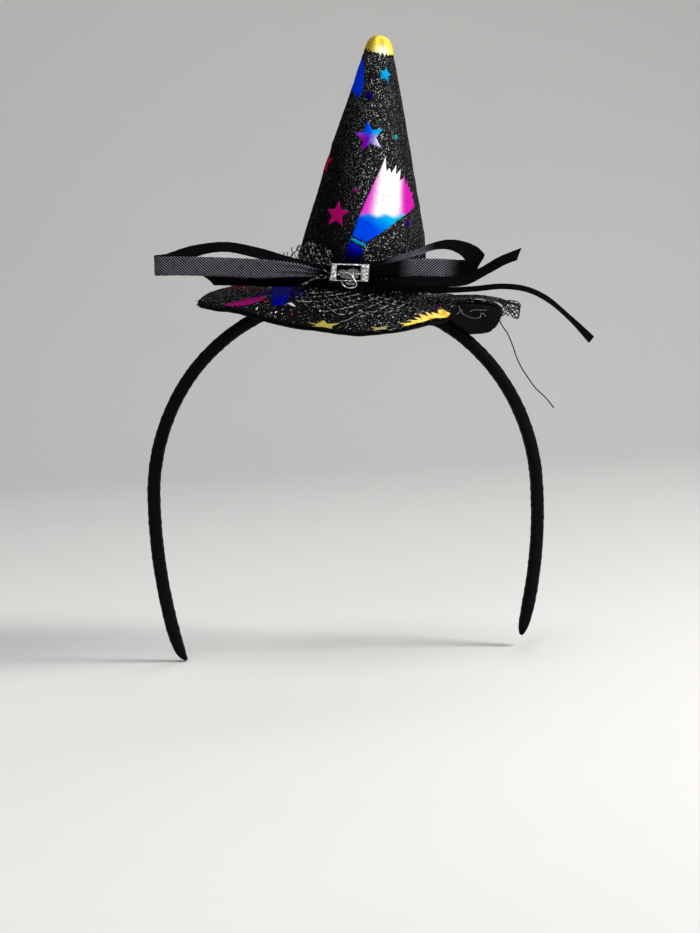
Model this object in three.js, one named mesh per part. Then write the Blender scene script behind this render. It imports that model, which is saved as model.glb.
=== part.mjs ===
// A small witch hat on a covered headband, with a ribbon bow, a buckle and a net veil.
// Millimetres, +Z up, worn upright. The origin is under the top of the band, where it sits on the hair.
import * as THREE from 'three';

// Gap left between pieces that touch
const clearance = 0.3;

// Headband: arcs from the top over the shoulder down each side, which is a little more open at the left
const bandThickness = 5.6;
const bandWidth = 9.5;
const bandTopRadius = 79.7;
const bandTopSweep = 58.7;
const bandShoulderRadius = 87;
const bandShoulderSweep = 29.8;
const bandLeftRadius = 238;
const bandLeftSweep = 17;
const bandRightRadius = 199;
const bandRightSweep = 19;
const bandTipLength = 13;
const bandSquareness = 0.8;

// How the hat sits: off to one side along the band, and pitched forward
const hatSeatAngle = 6.9;
const hatPitchAngle = 9.5;

// Crown, a hollow cone with a rounded top
const crownHeight = 103;
const crownFootRadius = 28;
const crownWall = 1.6;
const crownTopWall = 4;
const crownBow = 0.7;
const crownDent = 0.5;
const crownDentCount = 3;
const crownDentTwist = 6;

// Brim, a drooping disc of printed cloth over one of plain felt
const brimRadius = 66;
const brimDroop = 14;
const brimCurve = 1.25;
const brimWall = 1.3;
const liningWall = 1;

// Ribbon, knot and buckle
const ribbonWidth = 7.7;
const ribbonThickness = 1;
const tailEndSlant = 2.2;
const knotWidth = 13;
const knotHeight = 8.2;
const knotDepth = 5.6;
const knotOffset = -4.8;
const knotRise = 9.5;
const knotSquareness = 0.6;
const buckleWidth = 16;
const buckleHeight = 7.4;
const buckleDepth = 1.4;
const bucklePost = 3.2;
const buckleRail = 0.6;
const buckleCorner = 0.5;
const buckleBevel = 0.2;
const prongDiameter = 0.5;

// Reach, depth and rise of each strand of the bow
const leftLoop = { reach: 72.3, depth: 14, rise: 8 };
const lowerLoop = { reach: 50.5, depth: 8, rise: 8 };
const rightLoop = { reach: 45, depth: 12, rise: 16 };
const shortTail = { reach: 60.4, depth: 12, rise: 16 };
const longTail = { reach: 94, depth: 12, rise: 16 };

// Net
const netThickness = 0.9;
const netStrandShare = 0.3;
const netLift = 4;
const tuftHeight = 11;
const tuftEndShare = 0.72;
const tuftFlare = 5;
const tuftRipple = 1.2;
const tuftRippleTurns = 7;

// Smoothness of the faceted solids
const bandSteps = 48;
const bandSides = 12;
const crownSides = 32;
const brimSides = 60;
const brimRows = 5;
const ribbonSteps = 3;
const knotSides = 10;
const prongSteps = 22;
const prongSides = 6;

// Shape of a band tip, from the full section to the end: along, thickness, width and inward shift
const bandTip = [
  { along: 1, thick: 1, wide: 1, shift: 0 },
  { along: 0.45, thick: 0.86, wide: 0.92, shift: 0.05 },
  { along: 0.14, thick: 0.6, wide: 0.76, shift: 0.14 },
  { along: 0, thick: 0.26, wide: 0.5, shift: 0.3 },
];

// Outer profile of the crown from foot to top, as shares of its height and foot radius
const crownProfile = [
  { up: 0, radius: 1 },
  { up: 0.06, radius: 0.965 },
  { up: 0.175, radius: 0.908 },
  { up: 0.35, radius: 0.758 },
  { up: 0.53, radius: 0.6 },
  { up: 0.74, radius: 0.4 },
  { up: 0.88, radius: 0.265 },
  { up: 0.94, radius: 0.207 },
  { up: 0.972, radius: 0.163 },
  { up: 0.992, radius: 0.09 },
];

// Rim of the brim by turn in degrees, from the left end past the front, with a fold right of the front:
// reach and droop as shares of the brim's
const brimRim = [
  { turn: -180, reach: 1.02, droop: 0.86 },
  { turn: -165, reach: 1.01, droop: 0.77 },
  { turn: -150, reach: 1, droop: 0.61 },
  { turn: -135, reach: 1, droop: 0.49 },
  { turn: -120, reach: 1, droop: 0.53 },
  { turn: -105, reach: 1, droop: 0.59 },
  { turn: -90, reach: 1, droop: 0.61 },
  { turn: -75, reach: 1, droop: 0.39 },
  { turn: -62, reach: 0.995, droop: 0.15 },
  { turn: -55, reach: 0.945, droop: 0.14 },
  { turn: -49, reach: 0.885, droop: -0.12 },
  { turn: -42, reach: 0.878, droop: -0.2 },
  { turn: -30, reach: 0.93, droop: -0.12 },
  { turn: -15, reach: 0.93, droop: 0.16 },
  { turn: 0, reach: 0.915, droop: 0.62 },
  { turn: 15, reach: 0.915, droop: 1.16 },
  { turn: 30, reach: 0.92, droop: 1.54 },
  { turn: 45, reach: 0.925, droop: 1.7 },
  { turn: 60, reach: 0.935, droop: 1.68 },
  { turn: 75, reach: 0.945, droop: 1.45 },
  { turn: 90, reach: 0.96, droop: 1.28 },
  { turn: 110, reach: 0.98, droop: 1.1 },
  { turn: 130, reach: 0.99, droop: 0.97 },
  { turn: 155, reach: 1.01, droop: 0.86 },
];

// Knot sections from its left end: place along half its width, and size as a share of its own
const knotSections = [
  { along: -1, size: 0.74 },
  { along: -0.94, size: 0.88 },
  { along: -0.5, size: 0.98 },
  { along: 0, size: 1 },
  { along: 0.5, size: 0.98 },
  { along: 0.94, size: 0.88 },
  { along: 1, size: 0.74 },
];

// Ribbon routes from the knot: out, back and up as shares of each strand's size,
// lean of the upper edge out of the loop in degrees, which is to the back on the strand behind,
// and width as a share of the ribbon's
const leftLoopRoute = [
  { out: 0, back: 0.12, up: -0.08, lean: 30, wide: 0.45 },
  { out: 0.12, back: 0.28, up: -0.06, lean: 50, wide: 0.75 },
  { out: 0.27, back: 0.44, up: 0.12, lean: 64, wide: 0.95 },
  { out: 0.45, back: 0.62, up: 0.42, lean: 68, wide: 1 },
  { out: 0.62, back: 0.74, up: 0.56, lean: 68, wide: 1 },
  { out: 0.79, back: 0.74, up: 0.2, lean: 62, wide: 1 },
  { out: 0.93, back: 0.54, up: -0.42, lean: 38, wide: 1 },
  { out: 1, back: 0.18, up: -0.5, lean: 10, wide: 1 },
  { out: 0.985, back: -0.12, up: -0.46, lean: 0, wide: 1 },
  { out: 0.88, back: -0.25, up: -0.34, lean: 0, wide: 1 },
  { out: 0.62, back: -0.3, up: -0.2, lean: 0, wide: 1 },
  { out: 0.4, back: -0.29, up: -0.14, lean: 0, wide: 1 },
  { out: 0.2, back: -0.24, up: -0.09, lean: 0, wide: 0.72 },
  { out: 0.08, back: -0.18, up: -0.16, lean: 0, wide: 0.44 },
  { out: 0, back: -0.13, up: -0.13, lean: 0, wide: 0.4 },
];
const lowerLoopRoute = [
  { out: 0, back: 0.21, up: -0.5, lean: 8, wide: 0.36 },
  { out: 0.15, back: 0.46, up: -0.6, lean: 12, wide: 0.64 },
  { out: 0.4, back: 0.7, up: -0.76, lean: 24, wide: 0.9 },
  { out: 0.7, back: 0.85, up: -0.9, lean: 40, wide: 1 },
  { out: 0.94, back: 0.76, up: -1.02, lean: 54, wide: 1 },
  { out: 1, back: 0.48, up: -1.04, lean: 58, wide: 1 },
  { out: 0.94, back: 0.22, up: -0.98, lean: 55, wide: 1 },
  { out: 0.7, back: 0.12, up: -0.84, lean: 48, wide: 1 },
  { out: 0.4, back: 0.1, up: -0.74, lean: 30, wide: 0.9 },
  { out: 0.15, back: 0.02, up: -0.58, lean: 10, wide: 0.64 },
  { out: 0, back: -0.02, up: -0.5, lean: 0, wide: 0.36 },
];
const rightLoopRoute = [
  { out: 0, back: 0.14, up: 0.1, lean: 30, wide: 0.45 },
  { out: 0.14, back: 0.16, up: 0.23, lean: 66, wide: 0.8 },
  { out: 0.27, back: 0.18, up: 0.38, lean: 78, wide: 0.95 },
  { out: 0.45, back: 0.25, up: 0.61, lean: 86, wide: 1 },
  { out: 0.6, back: 0.38, up: 0.775, lean: 80, wide: 1 },
  { out: 0.75, back: 0.48, up: 0.81, lean: 64, wide: 1 },
  { out: 0.9, back: 0.45, up: 0.68, lean: 46, wide: 1 },
  { out: 1, back: 0.24, up: 0.46, lean: 31, wide: 1 },
  { out: 0.99, back: -0.06, up: 0.34, lean: 20, wide: 1 },
  { out: 0.87, back: -0.23, up: 0.3, lean: 6, wide: 1 },
  { out: 0.6, back: -0.3, up: 0.28, lean: 0, wide: 1 },
  { out: 0.35, back: -0.27, up: 0.21, lean: 0, wide: 0.95 },
  { out: 0.15, back: -0.22, up: 0.09, lean: 0, wide: 0.7 },
  { out: 0, back: -0.16, up: 0.03, lean: 0, wide: 0.45 },
];
const shortTailRoute = [
  { out: 0, back: -0.1, up: -0.24, lean: 16, wide: 0.36 },
  { out: 0.14, back: -0.46, up: -0.19, lean: 44, wide: 0.55 },
  { out: 0.3, back: -0.74, up: -0.085, lean: 70, wide: 0.86 },
  { out: 0.5, back: -0.82, up: -0.04, lean: 80, wide: 1 },
  { out: 0.65, back: -0.85, up: 0.05, lean: 77, wide: 1 },
  { out: 0.78, back: -0.8, up: 0.37, lean: 75, wide: 1 },
  { out: 0.89, back: -0.72, up: 0.65, lean: 74, wide: 1 },
  { out: 1, back: -0.64, up: 0.85, lean: 73, wide: 1 },
];
const longTailRoute = [
  { out: 0, back: 0.1, up: -0.24, lean: 20, wide: 0.36 },
  { out: 0.09, back: 0.1, up: -0.32, lean: 50, wide: 0.6 },
  { out: 0.2, back: 0.08, up: -0.33, lean: 72, wide: 0.9 },
  { out: 0.34, back: 0.04, up: -0.305, lean: 82, wide: 1 },
  { out: 0.47, back: 0, up: -0.22, lean: 84, wide: 1 },
  { out: 0.59, back: 0.02, up: -0.1, lean: 88, wide: 1 },
  { out: 0.69, back: 0.05, up: -0.12, lean: 86, wide: 1 },
  { out: 0.78, back: 0.1, up: -0.32, lean: 83, wide: 1 },
  { out: 0.89, back: 0.16, up: -0.79, lean: 78, wide: 1 },
  { out: 1, back: 0.22, up: -1.33, lean: 74, wide: 1.12 },
];

// Wire prong from its inner end: across as a share of half the opening, front from inside the frame
// to before it, and up as a share of half the buckle's height
const prongRoute = [
  { across: -0.78, front: 0, up: -0.06 },
  { across: -0.3, front: 0, up: -0.08 },
  { across: 0, front: 0.15, up: -0.1 },
  { across: 0.3, front: 0.6, up: -0.5 },
  { across: 0.52, front: 1, up: -0.88 },
  { across: 0.66, front: 1, up: -1.3 },
  { across: 0.36, front: 1, up: -1.6 },
  { across: -0.1, front: 1, up: -1.64 },
  { across: -0.46, front: 1, up: -1.42 },
  { across: -0.62, front: 1, up: -1.08 },
];

// Net veil from its left end to its free right end: turn about the crown in degrees,
// reach of its inner and outer edges as shares of the brim's radius, and their lift off the brim
const veilRows = [
  { turn: -126, inner: 0.5, innerLift: 0.2, outer: 0.7, outerLift: 0.08 },
  { turn: -109, inner: 0.5, innerLift: 0.35, outer: 0.8, outerLift: 0.1 },
  { turn: -91, inner: 0.52, innerLift: 0.42, outer: 0.84, outerLift: 0.12 },
  { turn: -74, inner: 0.54, innerLift: 0.36, outer: 0.84, outerLift: 0.12 },
  { turn: -58, inner: 0.61, innerLift: 0.22, outer: 0.85, outerLift: 0.12 },
  { turn: -44, inner: 0.74, innerLift: 0.16, outer: 0.9, outerLift: 0.12 },
  { turn: -32, inner: 0.9, innerLift: 0.3, outer: 1, outerLift: 0.1 },
  { turn: -25, inner: 1.1, innerLift: 0.25, outer: 1.07, outerLift: -1.6 },
];
const veilCells = { across: 13, down: 3 };
const tuftCells = { across: 5, down: 2 };
const tuftTurns = { from: -158, to: -115 };

const radians = THREE.MathUtils.degToRad;
const point = (x, y, z) => new THREE.Vector3(x, y, z);

// Value from one number to the next at a share, on a curve with the given slopes per step at its ends
function bend(from, to, slopeFrom, slopeTo, share) {
  const rest = 1 - share;
  const straight = from * rest * rest * (1 + 2 * share) + to * share * share * (1 + 2 * rest);
  return straight + slopeFrom * share * rest * rest - slopeTo * share * share * rest;
}

// Value of one column of evenly spaced rows at a share from 0 to 1
function smooth(rows, column, share) {
  const last = rows.length - 1;
  const place = Math.min(share, 1) * last;
  const start = Math.min(Math.floor(place), last - 1);
  const at = (index) => rows[THREE.MathUtils.clamp(index, 0, last)][column];
  const [before, from, to, after] = [at(start - 1), at(start), at(start + 1), at(start + 2)];
  return bend(from, to, (to - before) / 2, (after - from) / 2, place - start);
}

// Value of one column of the brim's rim at an angle, on a closed curve through its rows
function rim(column, angle) {
  const turn = THREE.MathUtils.euclideanModulo(THREE.MathUtils.radToDeg(angle) + 180, 360) - 180;
  const start = brimRim.findLastIndex((row) => row.turn <= turn);
  const at = (index) => {
    const row = brimRim[THREE.MathUtils.euclideanModulo(index, brimRim.length)];
    return { turn: row.turn + 360 * Math.floor(index / brimRim.length), value: row[column] };
  };
  const [before, from, to, after] = [at(start - 1), at(start), at(start + 1), at(start + 2)];
  const span = to.turn - from.turn;
  const slope = (a, b) => ((b.value - a.value) / (b.turn - a.turn)) * span;
  return bend(from.value, to.value, slope(before, to), slope(from, after), (turn - from.turn) / span);
}

// A closed skin over loops of points with equal counts, with a pole at each end;
// each four-sided cell is split along its shorter diagonal
function skin(loops, poles) {
  const corners = [...loops.flat(), ...poles];
  const count = loops[0].length;
  const end = (loops.length - 1) * count;
  const [first, last] = [end + count, end + count + 1];
  const faces = [];
  for (let i = 0; i < count; i += 1) {
    const j = (i + 1) % count;
    for (let row = 0; row < end; row += count) {
      const [a, b, c, d] = [row + i, row + j, row + count + j, row + count + i];
      const straight = corners[a].distanceTo(corners[c]) <= corners[b].distanceTo(corners[d]);
      faces.push(straight ? [a, b, c] : [a, b, d], straight ? [a, c, d] : [b, c, d]);
    }
    faces.push([first, j, i], [last, end + i, end + j]);
  }
  return closedBody(corners, faces);
}

// Geometry from corners and triangles, with every triangle facing out
function closedBody(corners, faces) {
  const volume = faces.reduce((sum, [a, b, c]) => {
    return sum + corners[a].dot(point(0, 0, 0).crossVectors(corners[b], corners[c]));
  }, 0);
  const turned = volume < 0 ? faces.map(([a, b, c]) => [a, c, b]) : faces;
  const geometry = new THREE.BufferGeometry();
  const numbers = corners.flatMap((corner) => corner.toArray());
  geometry.setAttribute('position', new THREE.Float32BufferAttribute(numbers, 3));
  geometry.setIndex(turned.flat());
  geometry.computeVertexNormals();
  return geometry;
}

// The middle of a loop of points
function middle(loop) {
  return loop.reduce((sum, p) => sum.add(p), point(0, 0, 0)).divideScalar(loop.length);
}

function piece(name, geometry, color, roughness, metalness = 0) {
  const mesh = new THREE.Mesh(geometry, new THREE.MeshStandardMaterial({ color, roughness, metalness }));
  mesh.name = name;
  return mesh;
}

// Sine or cosine bent towards a rounded rectangle by a power under 1
const squared = (value, power) => Math.sign(value) * Math.abs(value) ** power;

// Rounded section of the band: across is along Y, out is away from the head
function bandSection() {
  const loop = [];
  for (let i = 0; i < bandSides; i += 1) {
    const angle = (2 * Math.PI * (i + 0.5)) / bandSides;
    loop.push({
      across: (bandWidth / 2) * squared(Math.cos(angle), bandSquareness),
      out: (bandThickness / 2) * squared(Math.sin(angle), bandSquareness),
    });
  }
  return loop;
}

// Arcs of one side of the band from its top down, and their length together
function bandSide(sideRadius, sideSweep) {
  const arcs = [
    { radius: bandTopRadius, sweep: radians(bandTopSweep) },
    { radius: bandShoulderRadius, sweep: radians(bandShoulderSweep) },
    { radius: sideRadius, sweep: radians(sideSweep) },
  ];
  return { arcs, length: arcs.reduce((sum, arc) => sum + arc.radius * arc.sweep, 0) };
}
const bandLeft = bandSide(bandLeftRadius, bandLeftSweep);
const bandRight = bandSide(bandRightRadius, bandRightSweep);

// Centre of the band and its outward angle at a distance from the top, along either side
function bandAt(distance) {
  const side = Math.sign(distance) || 1;
  let left = Math.abs(distance);
  let angle = 0;
  let x = 0;
  let z = bandThickness / 2;
  for (const { radius, sweep } of (side < 0 ? bandLeft : bandRight).arcs) {
    const turned = angle + Math.min(left / radius, sweep);
    x += radius * (Math.sin(turned) - Math.sin(angle));
    z -= radius * (Math.cos(angle) - Math.cos(turned));
    left = Math.max(0, left - radius * sweep);
    angle = turned;
  }
  return { x: side * x, z, angle: side * angle };
}

// Section of the band at a distance, shrunk near a tip; only the left tip is cut aslant
function bandLoop(distance, shape) {
  const { x, z, angle } = bandAt(distance);
  const shift = distance < 0 ? -shape.shift * bandThickness : 0;
  return bandSection().map(({ across, out }) => {
    const reach = out * shape.thick + shift;
    return point(x + reach * Math.sin(angle), across * shape.wide, z + reach * Math.cos(angle));
  });
}

function band() {
  const left = bandTip.map((row) => bandLoop(row.along * bandTipLength - bandLeft.length, row)).reverse();
  const right = bandTip.map((row) => bandLoop(bandRight.length - row.along * bandTipLength, row));
  const plain = { thick: 1, wide: 1, shift: 0 };
  const loops = [...left];
  for (let i = 1; i < bandSteps; i += 1) {
    const start = bandTipLength - bandLeft.length;
    loops.push(bandLoop(THREE.MathUtils.lerp(start, bandRight.length - bandTipLength, i / bandSteps), plain));
  }
  loops.push(...right);
  return skin(loops, [middle(loops[0]), middle(loops.at(-1))]);
}

// Radius of the crown's outside at a height above its foot
function crownRadiusAt(height) {
  const up = THREE.MathUtils.clamp(height / crownHeight, 0, crownProfile.at(-1).up);
  const above = Math.max(1, crownProfile.findIndex((row) => row.up >= up));
  const [low, high] = [crownProfile[above - 1], crownProfile[above]];
  return crownFootRadius * THREE.MathUtils.mapLinear(up, low.up, high.up, low.radius, high.radius);
}

// Ring of the crown at a share of a height, bowed a little to the right and softly dented
function crownRing(row, footRadius, height) {
  const ring = [];
  const sway = crownBow * Math.sin(Math.PI * row.up);
  for (let i = 0; i < crownSides; i += 1) {
    const angle = (2 * Math.PI * i) / crownSides;
    const phase = crownDentCount * angle + crownDentTwist * row.up;
    const dent = crownDent * Math.sin(Math.PI * row.up) * Math.cos(phase);
    const radius = footRadius * row.radius + dent;
    ring.push(point(sway + radius * Math.cos(angle), radius * Math.sin(angle), height * row.up));
  }
  return ring;
}

// One wall, open at the foot and closed over the top
function crown() {
  const innerHeight = crownHeight - crownTopWall;
  const outside = crownProfile.map((row) => crownRing(row, crownFootRadius, crownHeight));
  const inside = crownProfile.map((row) => crownRing(row, crownFootRadius - crownWall, innerHeight));
  return skin([...outside.reverse(), ...inside], [point(0, 0, crownHeight), point(0, 0, innerHeight)]);
}

const rimReach = (angle) => brimRadius * rim('reach', angle);

// Height of the brim's upper face at a radius and an angle about the crown
function brimTop(radius, angle) {
  const out = THREE.MathUtils.clamp((radius - crownFootRadius) / (rimReach(angle) - crownFootRadius), 0, 1);
  return -clearance - brimDroop * rim('droop', angle) * out ** brimCurve;
}

// A drooping disc as wide as the brim, with its upper face at a depth below the brim's own
function brimDisc(depth, wall) {
  const face = (below) => Array.from({ length: brimRows }, (_, row) => {
    return Array.from({ length: brimSides }, (__, i) => {
      const angle = (2 * Math.PI * i) / brimSides - Math.PI;
      const radius = (rimReach(angle) * (row + 1)) / brimRows;
      return point(radius * Math.cos(angle), radius * Math.sin(angle), brimTop(radius, angle) - below);
    });
  });
  const centre = -clearance - depth;
  const poles = [point(0, 0, centre), point(0, 0, centre - wall)];
  return skin([...face(depth), ...face(depth + wall).reverse()], poles);
}

// The knot stands just in front of the crown's foot
const knotBack = -crownRadiusAt(knotRise - knotHeight / 2) - clearance;
const knotFront = knotBack - knotDepth;
const knotMiddle = (knotBack + knotFront) / 2;

// A pinched roll of ribbon, widest at its middle
function bowKnot() {
  const loops = knotSections.map(({ along, size }) => {
    return Array.from({ length: knotSides }, (_, i) => {
      const angle = (2 * Math.PI * (i + 0.5)) / knotSides;
      const y = (knotDepth / 2) * size * squared(Math.cos(angle), knotSquareness);
      const z = (knotHeight / 2) * size * squared(Math.sin(angle), knotSquareness);
      return point(knotOffset + (along * knotWidth) / 2, knotMiddle + y, knotRise + z);
    });
  });
  return skin(loops, [middle(loops[0]), middle(loops.at(-1))]);
}

// Rectangle with rounded corners about the centre
function roundedRectangle(path, width, height, radius) {
  const [x, y] = [width / 2, height / 2];
  path.moveTo(-x + radius, -y);
  path.lineTo(x - radius, -y);
  path.absarc(x - radius, -y + radius, radius, -Math.PI / 2, 0);
  path.lineTo(x, y - radius);
  path.absarc(x - radius, y - radius, radius, 0, Math.PI / 2);
  path.lineTo(-x + radius, y);
  path.absarc(-x + radius, y - radius, radius, Math.PI / 2, Math.PI);
  path.lineTo(-x, -y + radius);
  path.absarc(-x + radius, -y + radius, radius, Math.PI, 1.5 * Math.PI);
  return path;
}

// The buckle's open frame, drawn upright and laid against the knot
function buckle() {
  const inset = 2 * buckleBevel;
  const outline = roundedRectangle(new THREE.Shape(), buckleWidth - inset, buckleHeight - inset, buckleCorner);
  const holeWidth = buckleWidth - 2 * bucklePost + inset;
  const holeHeight = buckleHeight - 2 * buckleRail + inset;
  outline.holes.push(roundedRectangle(new THREE.Path(), holeWidth, holeHeight, buckleCorner));
  const geometry = new THREE.ExtrudeGeometry(outline, {
    depth: buckleDepth - inset,
    bevelThickness: buckleBevel,
    bevelSize: buckleBevel,
    bevelSegments: 1,
    curveSegments: 2,
  });
  geometry.rotateX(Math.PI / 2);
  geometry.translate(knotOffset, knotFront - clearance - buckleBevel, knotRise);
  return geometry;
}

// A wire tongue that lies in the frame, crosses the lower rail and curls under it
function buckleProng() {
  const inside = knotFront - clearance - prongDiameter / 2;
  const before = inside - clearance - buckleDepth;
  const halfOpening = buckleWidth / 2 - bucklePost;
  const stops = prongRoute.map(({ across, front, up }) => {
    const y = THREE.MathUtils.lerp(inside, before, front);
    return point(knotOffset + across * halfOpening, y, knotRise + (up * buckleHeight) / 2);
  });
  const section = new THREE.Shape();
  section.absarc(0, 0, prongDiameter / 2, 0, 2 * Math.PI);
  return new THREE.ExtrudeGeometry(section, {
    steps: prongSteps,
    curveSegments: prongSides,
    extrudePath: new THREE.CatmullRomCurve3(stops),
  });
}

// A strip of ribbon along a route, on the left or right of the knot
function ribbon(route, size, side, cut = 0) {
  const steps = ribbonSteps * (route.length - 1);
  const start = knotOffset + side * (knotWidth / 2 + clearance + ribbonThickness / 2);
  const stops = route.map((row) => {
    return point(start + side * row.out * size.reach, knotMiddle + row.back * size.depth,
      knotRise + row.up * size.rise);
  });
  const curve = new THREE.CatmullRomCurve3(stops, false, 'centripetal');
  const loops = [];
  for (let i = 0; i <= steps; i += 1) {
    const share = i / steps;
    const centre = curve.getPoint(share);
    const along = curve.getTangent(share);
    const lean = -side * radians(smooth(route, 'lean', share));
    const across = point(0, 0, 1).addScaledVector(along, -along.z).normalize().applyAxisAngle(along, lean);
    const face = point(0, 0, 0).crossVectors(along, across);
    const wide = (ribbonWidth / 2) * smooth(route, 'wide', share);
    const slant = cut * THREE.MathUtils.smoothstep(share, 1 - 2 / steps, 1);
    const corner = (w, t) => {
      const ahead = slant * w;
      return centre.clone().addScaledVector(across, w * wide).addScaledVector(along, ahead)
        .addScaledVector(face, (t * ribbonThickness) / 2);
    };
    loops.push([corner(-1, -1), corner(0, -1), corner(1, -1), corner(1, 1), corner(0, 1), corner(-1, 1)]);
  }
  return skin(loops, [middle(loops[0]), middle(loops.at(-1))]);
}

// A net of diamond cells; place(u, v, out) gives the point at shares of its length and height,
// with out from -1 to 1 through its thickness
function net(cells, place) {
  const corners = [];
  const index = new Map();
  const corner = (u, v, out) => {
    const key = [u, v, out].map((value) => Math.round(value * 1e4)).join();
    if (!index.has(key)) {
      index.set(key, corners.length);
      corners.push(place(u / cells.across, v / cells.down, out));
    }
    return index.get(key);
  };
  const middles = [];
  for (let j = 0; j < 2 * cells.down - 1; j += 1) {
    const inset = (j % 2) / 2;
    for (let i = 0; i < cells.across - 2 * inset; i += 1) {
      middles.push([i + 0.5 + inset, (j + 1) / 2]);
    }
  }
  const taken = new Set(middles.map(String));
  const ways = [[0, 1], [1, 0], [0, -1], [-1, 0]];
  const faces = [];
  const wall = (a, b, c, d) => faces.push([a, b, c], [a, c, d]);
  for (const [u, v] of middles) {
    ways.forEach(([du, dv], side) => {
      const [eu, ev] = ways[(side + 1) % ways.length];
      const edge = (out) => [corner(u + du / 2, v + dv / 2, out), corner(u + eu / 2, v + ev / 2, out)];
      const open = (1 - netStrandShare) / 2;
      const hole = (out) => [
        corner(u + du * open, v + dv * open, out),
        corner(u + eu * open, v + ev * open, out),
      ];
      const [topEdge, topHole, lowEdge, lowHole] = [edge(1), hole(1), edge(-1), hole(-1)];
      wall(topEdge[0], topEdge[1], topHole[1], topHole[0]);
      wall(lowEdge[1], lowEdge[0], lowHole[0], lowHole[1]);
      wall(topHole[0], topHole[1], lowHole[1], lowHole[0]);
      if (!taken.has(String([u + (du + eu) / 2, v + (dv + ev) / 2]))) {
        wall(topEdge[1], topEdge[0], lowEdge[0], lowEdge[1]);
      }
    });
  }
  return closedBody(corners, faces);
}

// The veil lies over the front of the brim and runs on past the rim at the right
function netVeil() {
  return net(veilCells, (along, down, out) => {
    const angle = radians(smooth(veilRows, 'turn', along));
    const edge = (name) => smooth(veilRows, name, along);
    const radius = brimRadius * THREE.MathUtils.lerp(edge('inner'), edge('outer'), down);
    const lift = netLift * THREE.MathUtils.lerp(edge('innerLift'), edge('outerLift'), down);
    const height = brimTop(radius, angle) + clearance + netThickness / 2 + lift + (out * netThickness) / 2;
    return point(radius * Math.cos(angle), radius * Math.sin(angle), height);
  });
}

// The tuft stands against the crown above the left of the bow
function netTuft() {
  const low = knotRise - knotHeight / 4;
  return net(tuftCells, (along, down, out) => {
    const angle = radians(THREE.MathUtils.lerp(tuftTurns.from, tuftTurns.to, along));
    const rise = THREE.MathUtils.lerp(tuftEndShare, 1, Math.sin(Math.PI * along));
    const height = low + tuftHeight * (1 - down) * rise;
    const ripple = tuftRipple * Math.sin(tuftRippleTurns * along + 1) ** 2;
    const flare = (1 - down) * (ripple + tuftFlare * (1 - along) ** 3);
    const gap = clearance + crownDent + crownBow + netThickness / 2;
    const radius = crownRadiusAt(height) + gap + flare + (out * netThickness) / 2;
    return point(radius * Math.cos(angle), radius * Math.sin(angle), height);
  });
}

const black = 0x0b0b0d;
const hat = new THREE.Group();
hat.add(piece('crown', crown(), black, 0.75));
hat.add(piece('brim', brimDisc(0, brimWall), black, 0.75));
hat.add(piece('brim_lining', brimDisc(brimWall + clearance, liningWall), 0x121214, 0.95));
hat.add(piece('bow_knot', bowKnot(), black, 0.5));
hat.add(piece('buckle', buckle(), 0xc9c9c6, 0.25, 1));
hat.add(piece('buckle_prong', buckleProng(), 0xb5b5b2, 0.3, 1));
hat.add(piece('bow_left_loop', ribbon(leftLoopRoute, leftLoop, -1), black, 0.45));
hat.add(piece('bow_left_lower_loop', ribbon(lowerLoopRoute, lowerLoop, -1), black, 0.45));
hat.add(piece('bow_right_loop', ribbon(rightLoopRoute, rightLoop, 1), black, 0.45));
hat.add(piece('bow_tail_short', ribbon(shortTailRoute, shortTail, 1, tailEndSlant), black, 0.45));
hat.add(piece('bow_tail_long', ribbon(longTailRoute, longTail, 1), black, 0.45));
hat.add(piece('net_veil', netVeil(), 0x161618, 0.35));
hat.add(piece('net_tuft', netTuft(), 0x161618, 0.35));

// The hat's foot stands off the band by the cloth and felt between them
const pitch = radians(hatPitchAngle);
const bandTop = Math.max(...bandSection().map((p) => p.out * Math.cos(pitch) - p.across * Math.sin(pitch)));
hat.position.z = bandTop + clearance + liningWall + clearance + brimWall + clearance;
const pitched = new THREE.Group();
pitched.position.z = bandTopRadius;
pitched.rotation.x = pitch;
pitched.add(hat);
const seat = new THREE.Group();
seat.position.z = bandThickness / 2 - bandTopRadius;
seat.rotation.y = radians(hatSeatAngle);
seat.add(pitched);

const headband = new THREE.Group();
headband.add(piece('band', band(), 0x0d0d10, 0.5));
headband.add(seat);

export default headband;
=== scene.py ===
import math

import bpy
import numpy as np
from mathutils import Matrix, Vector
from mathutils.geometry import delaunay_2d_cdt


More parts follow.
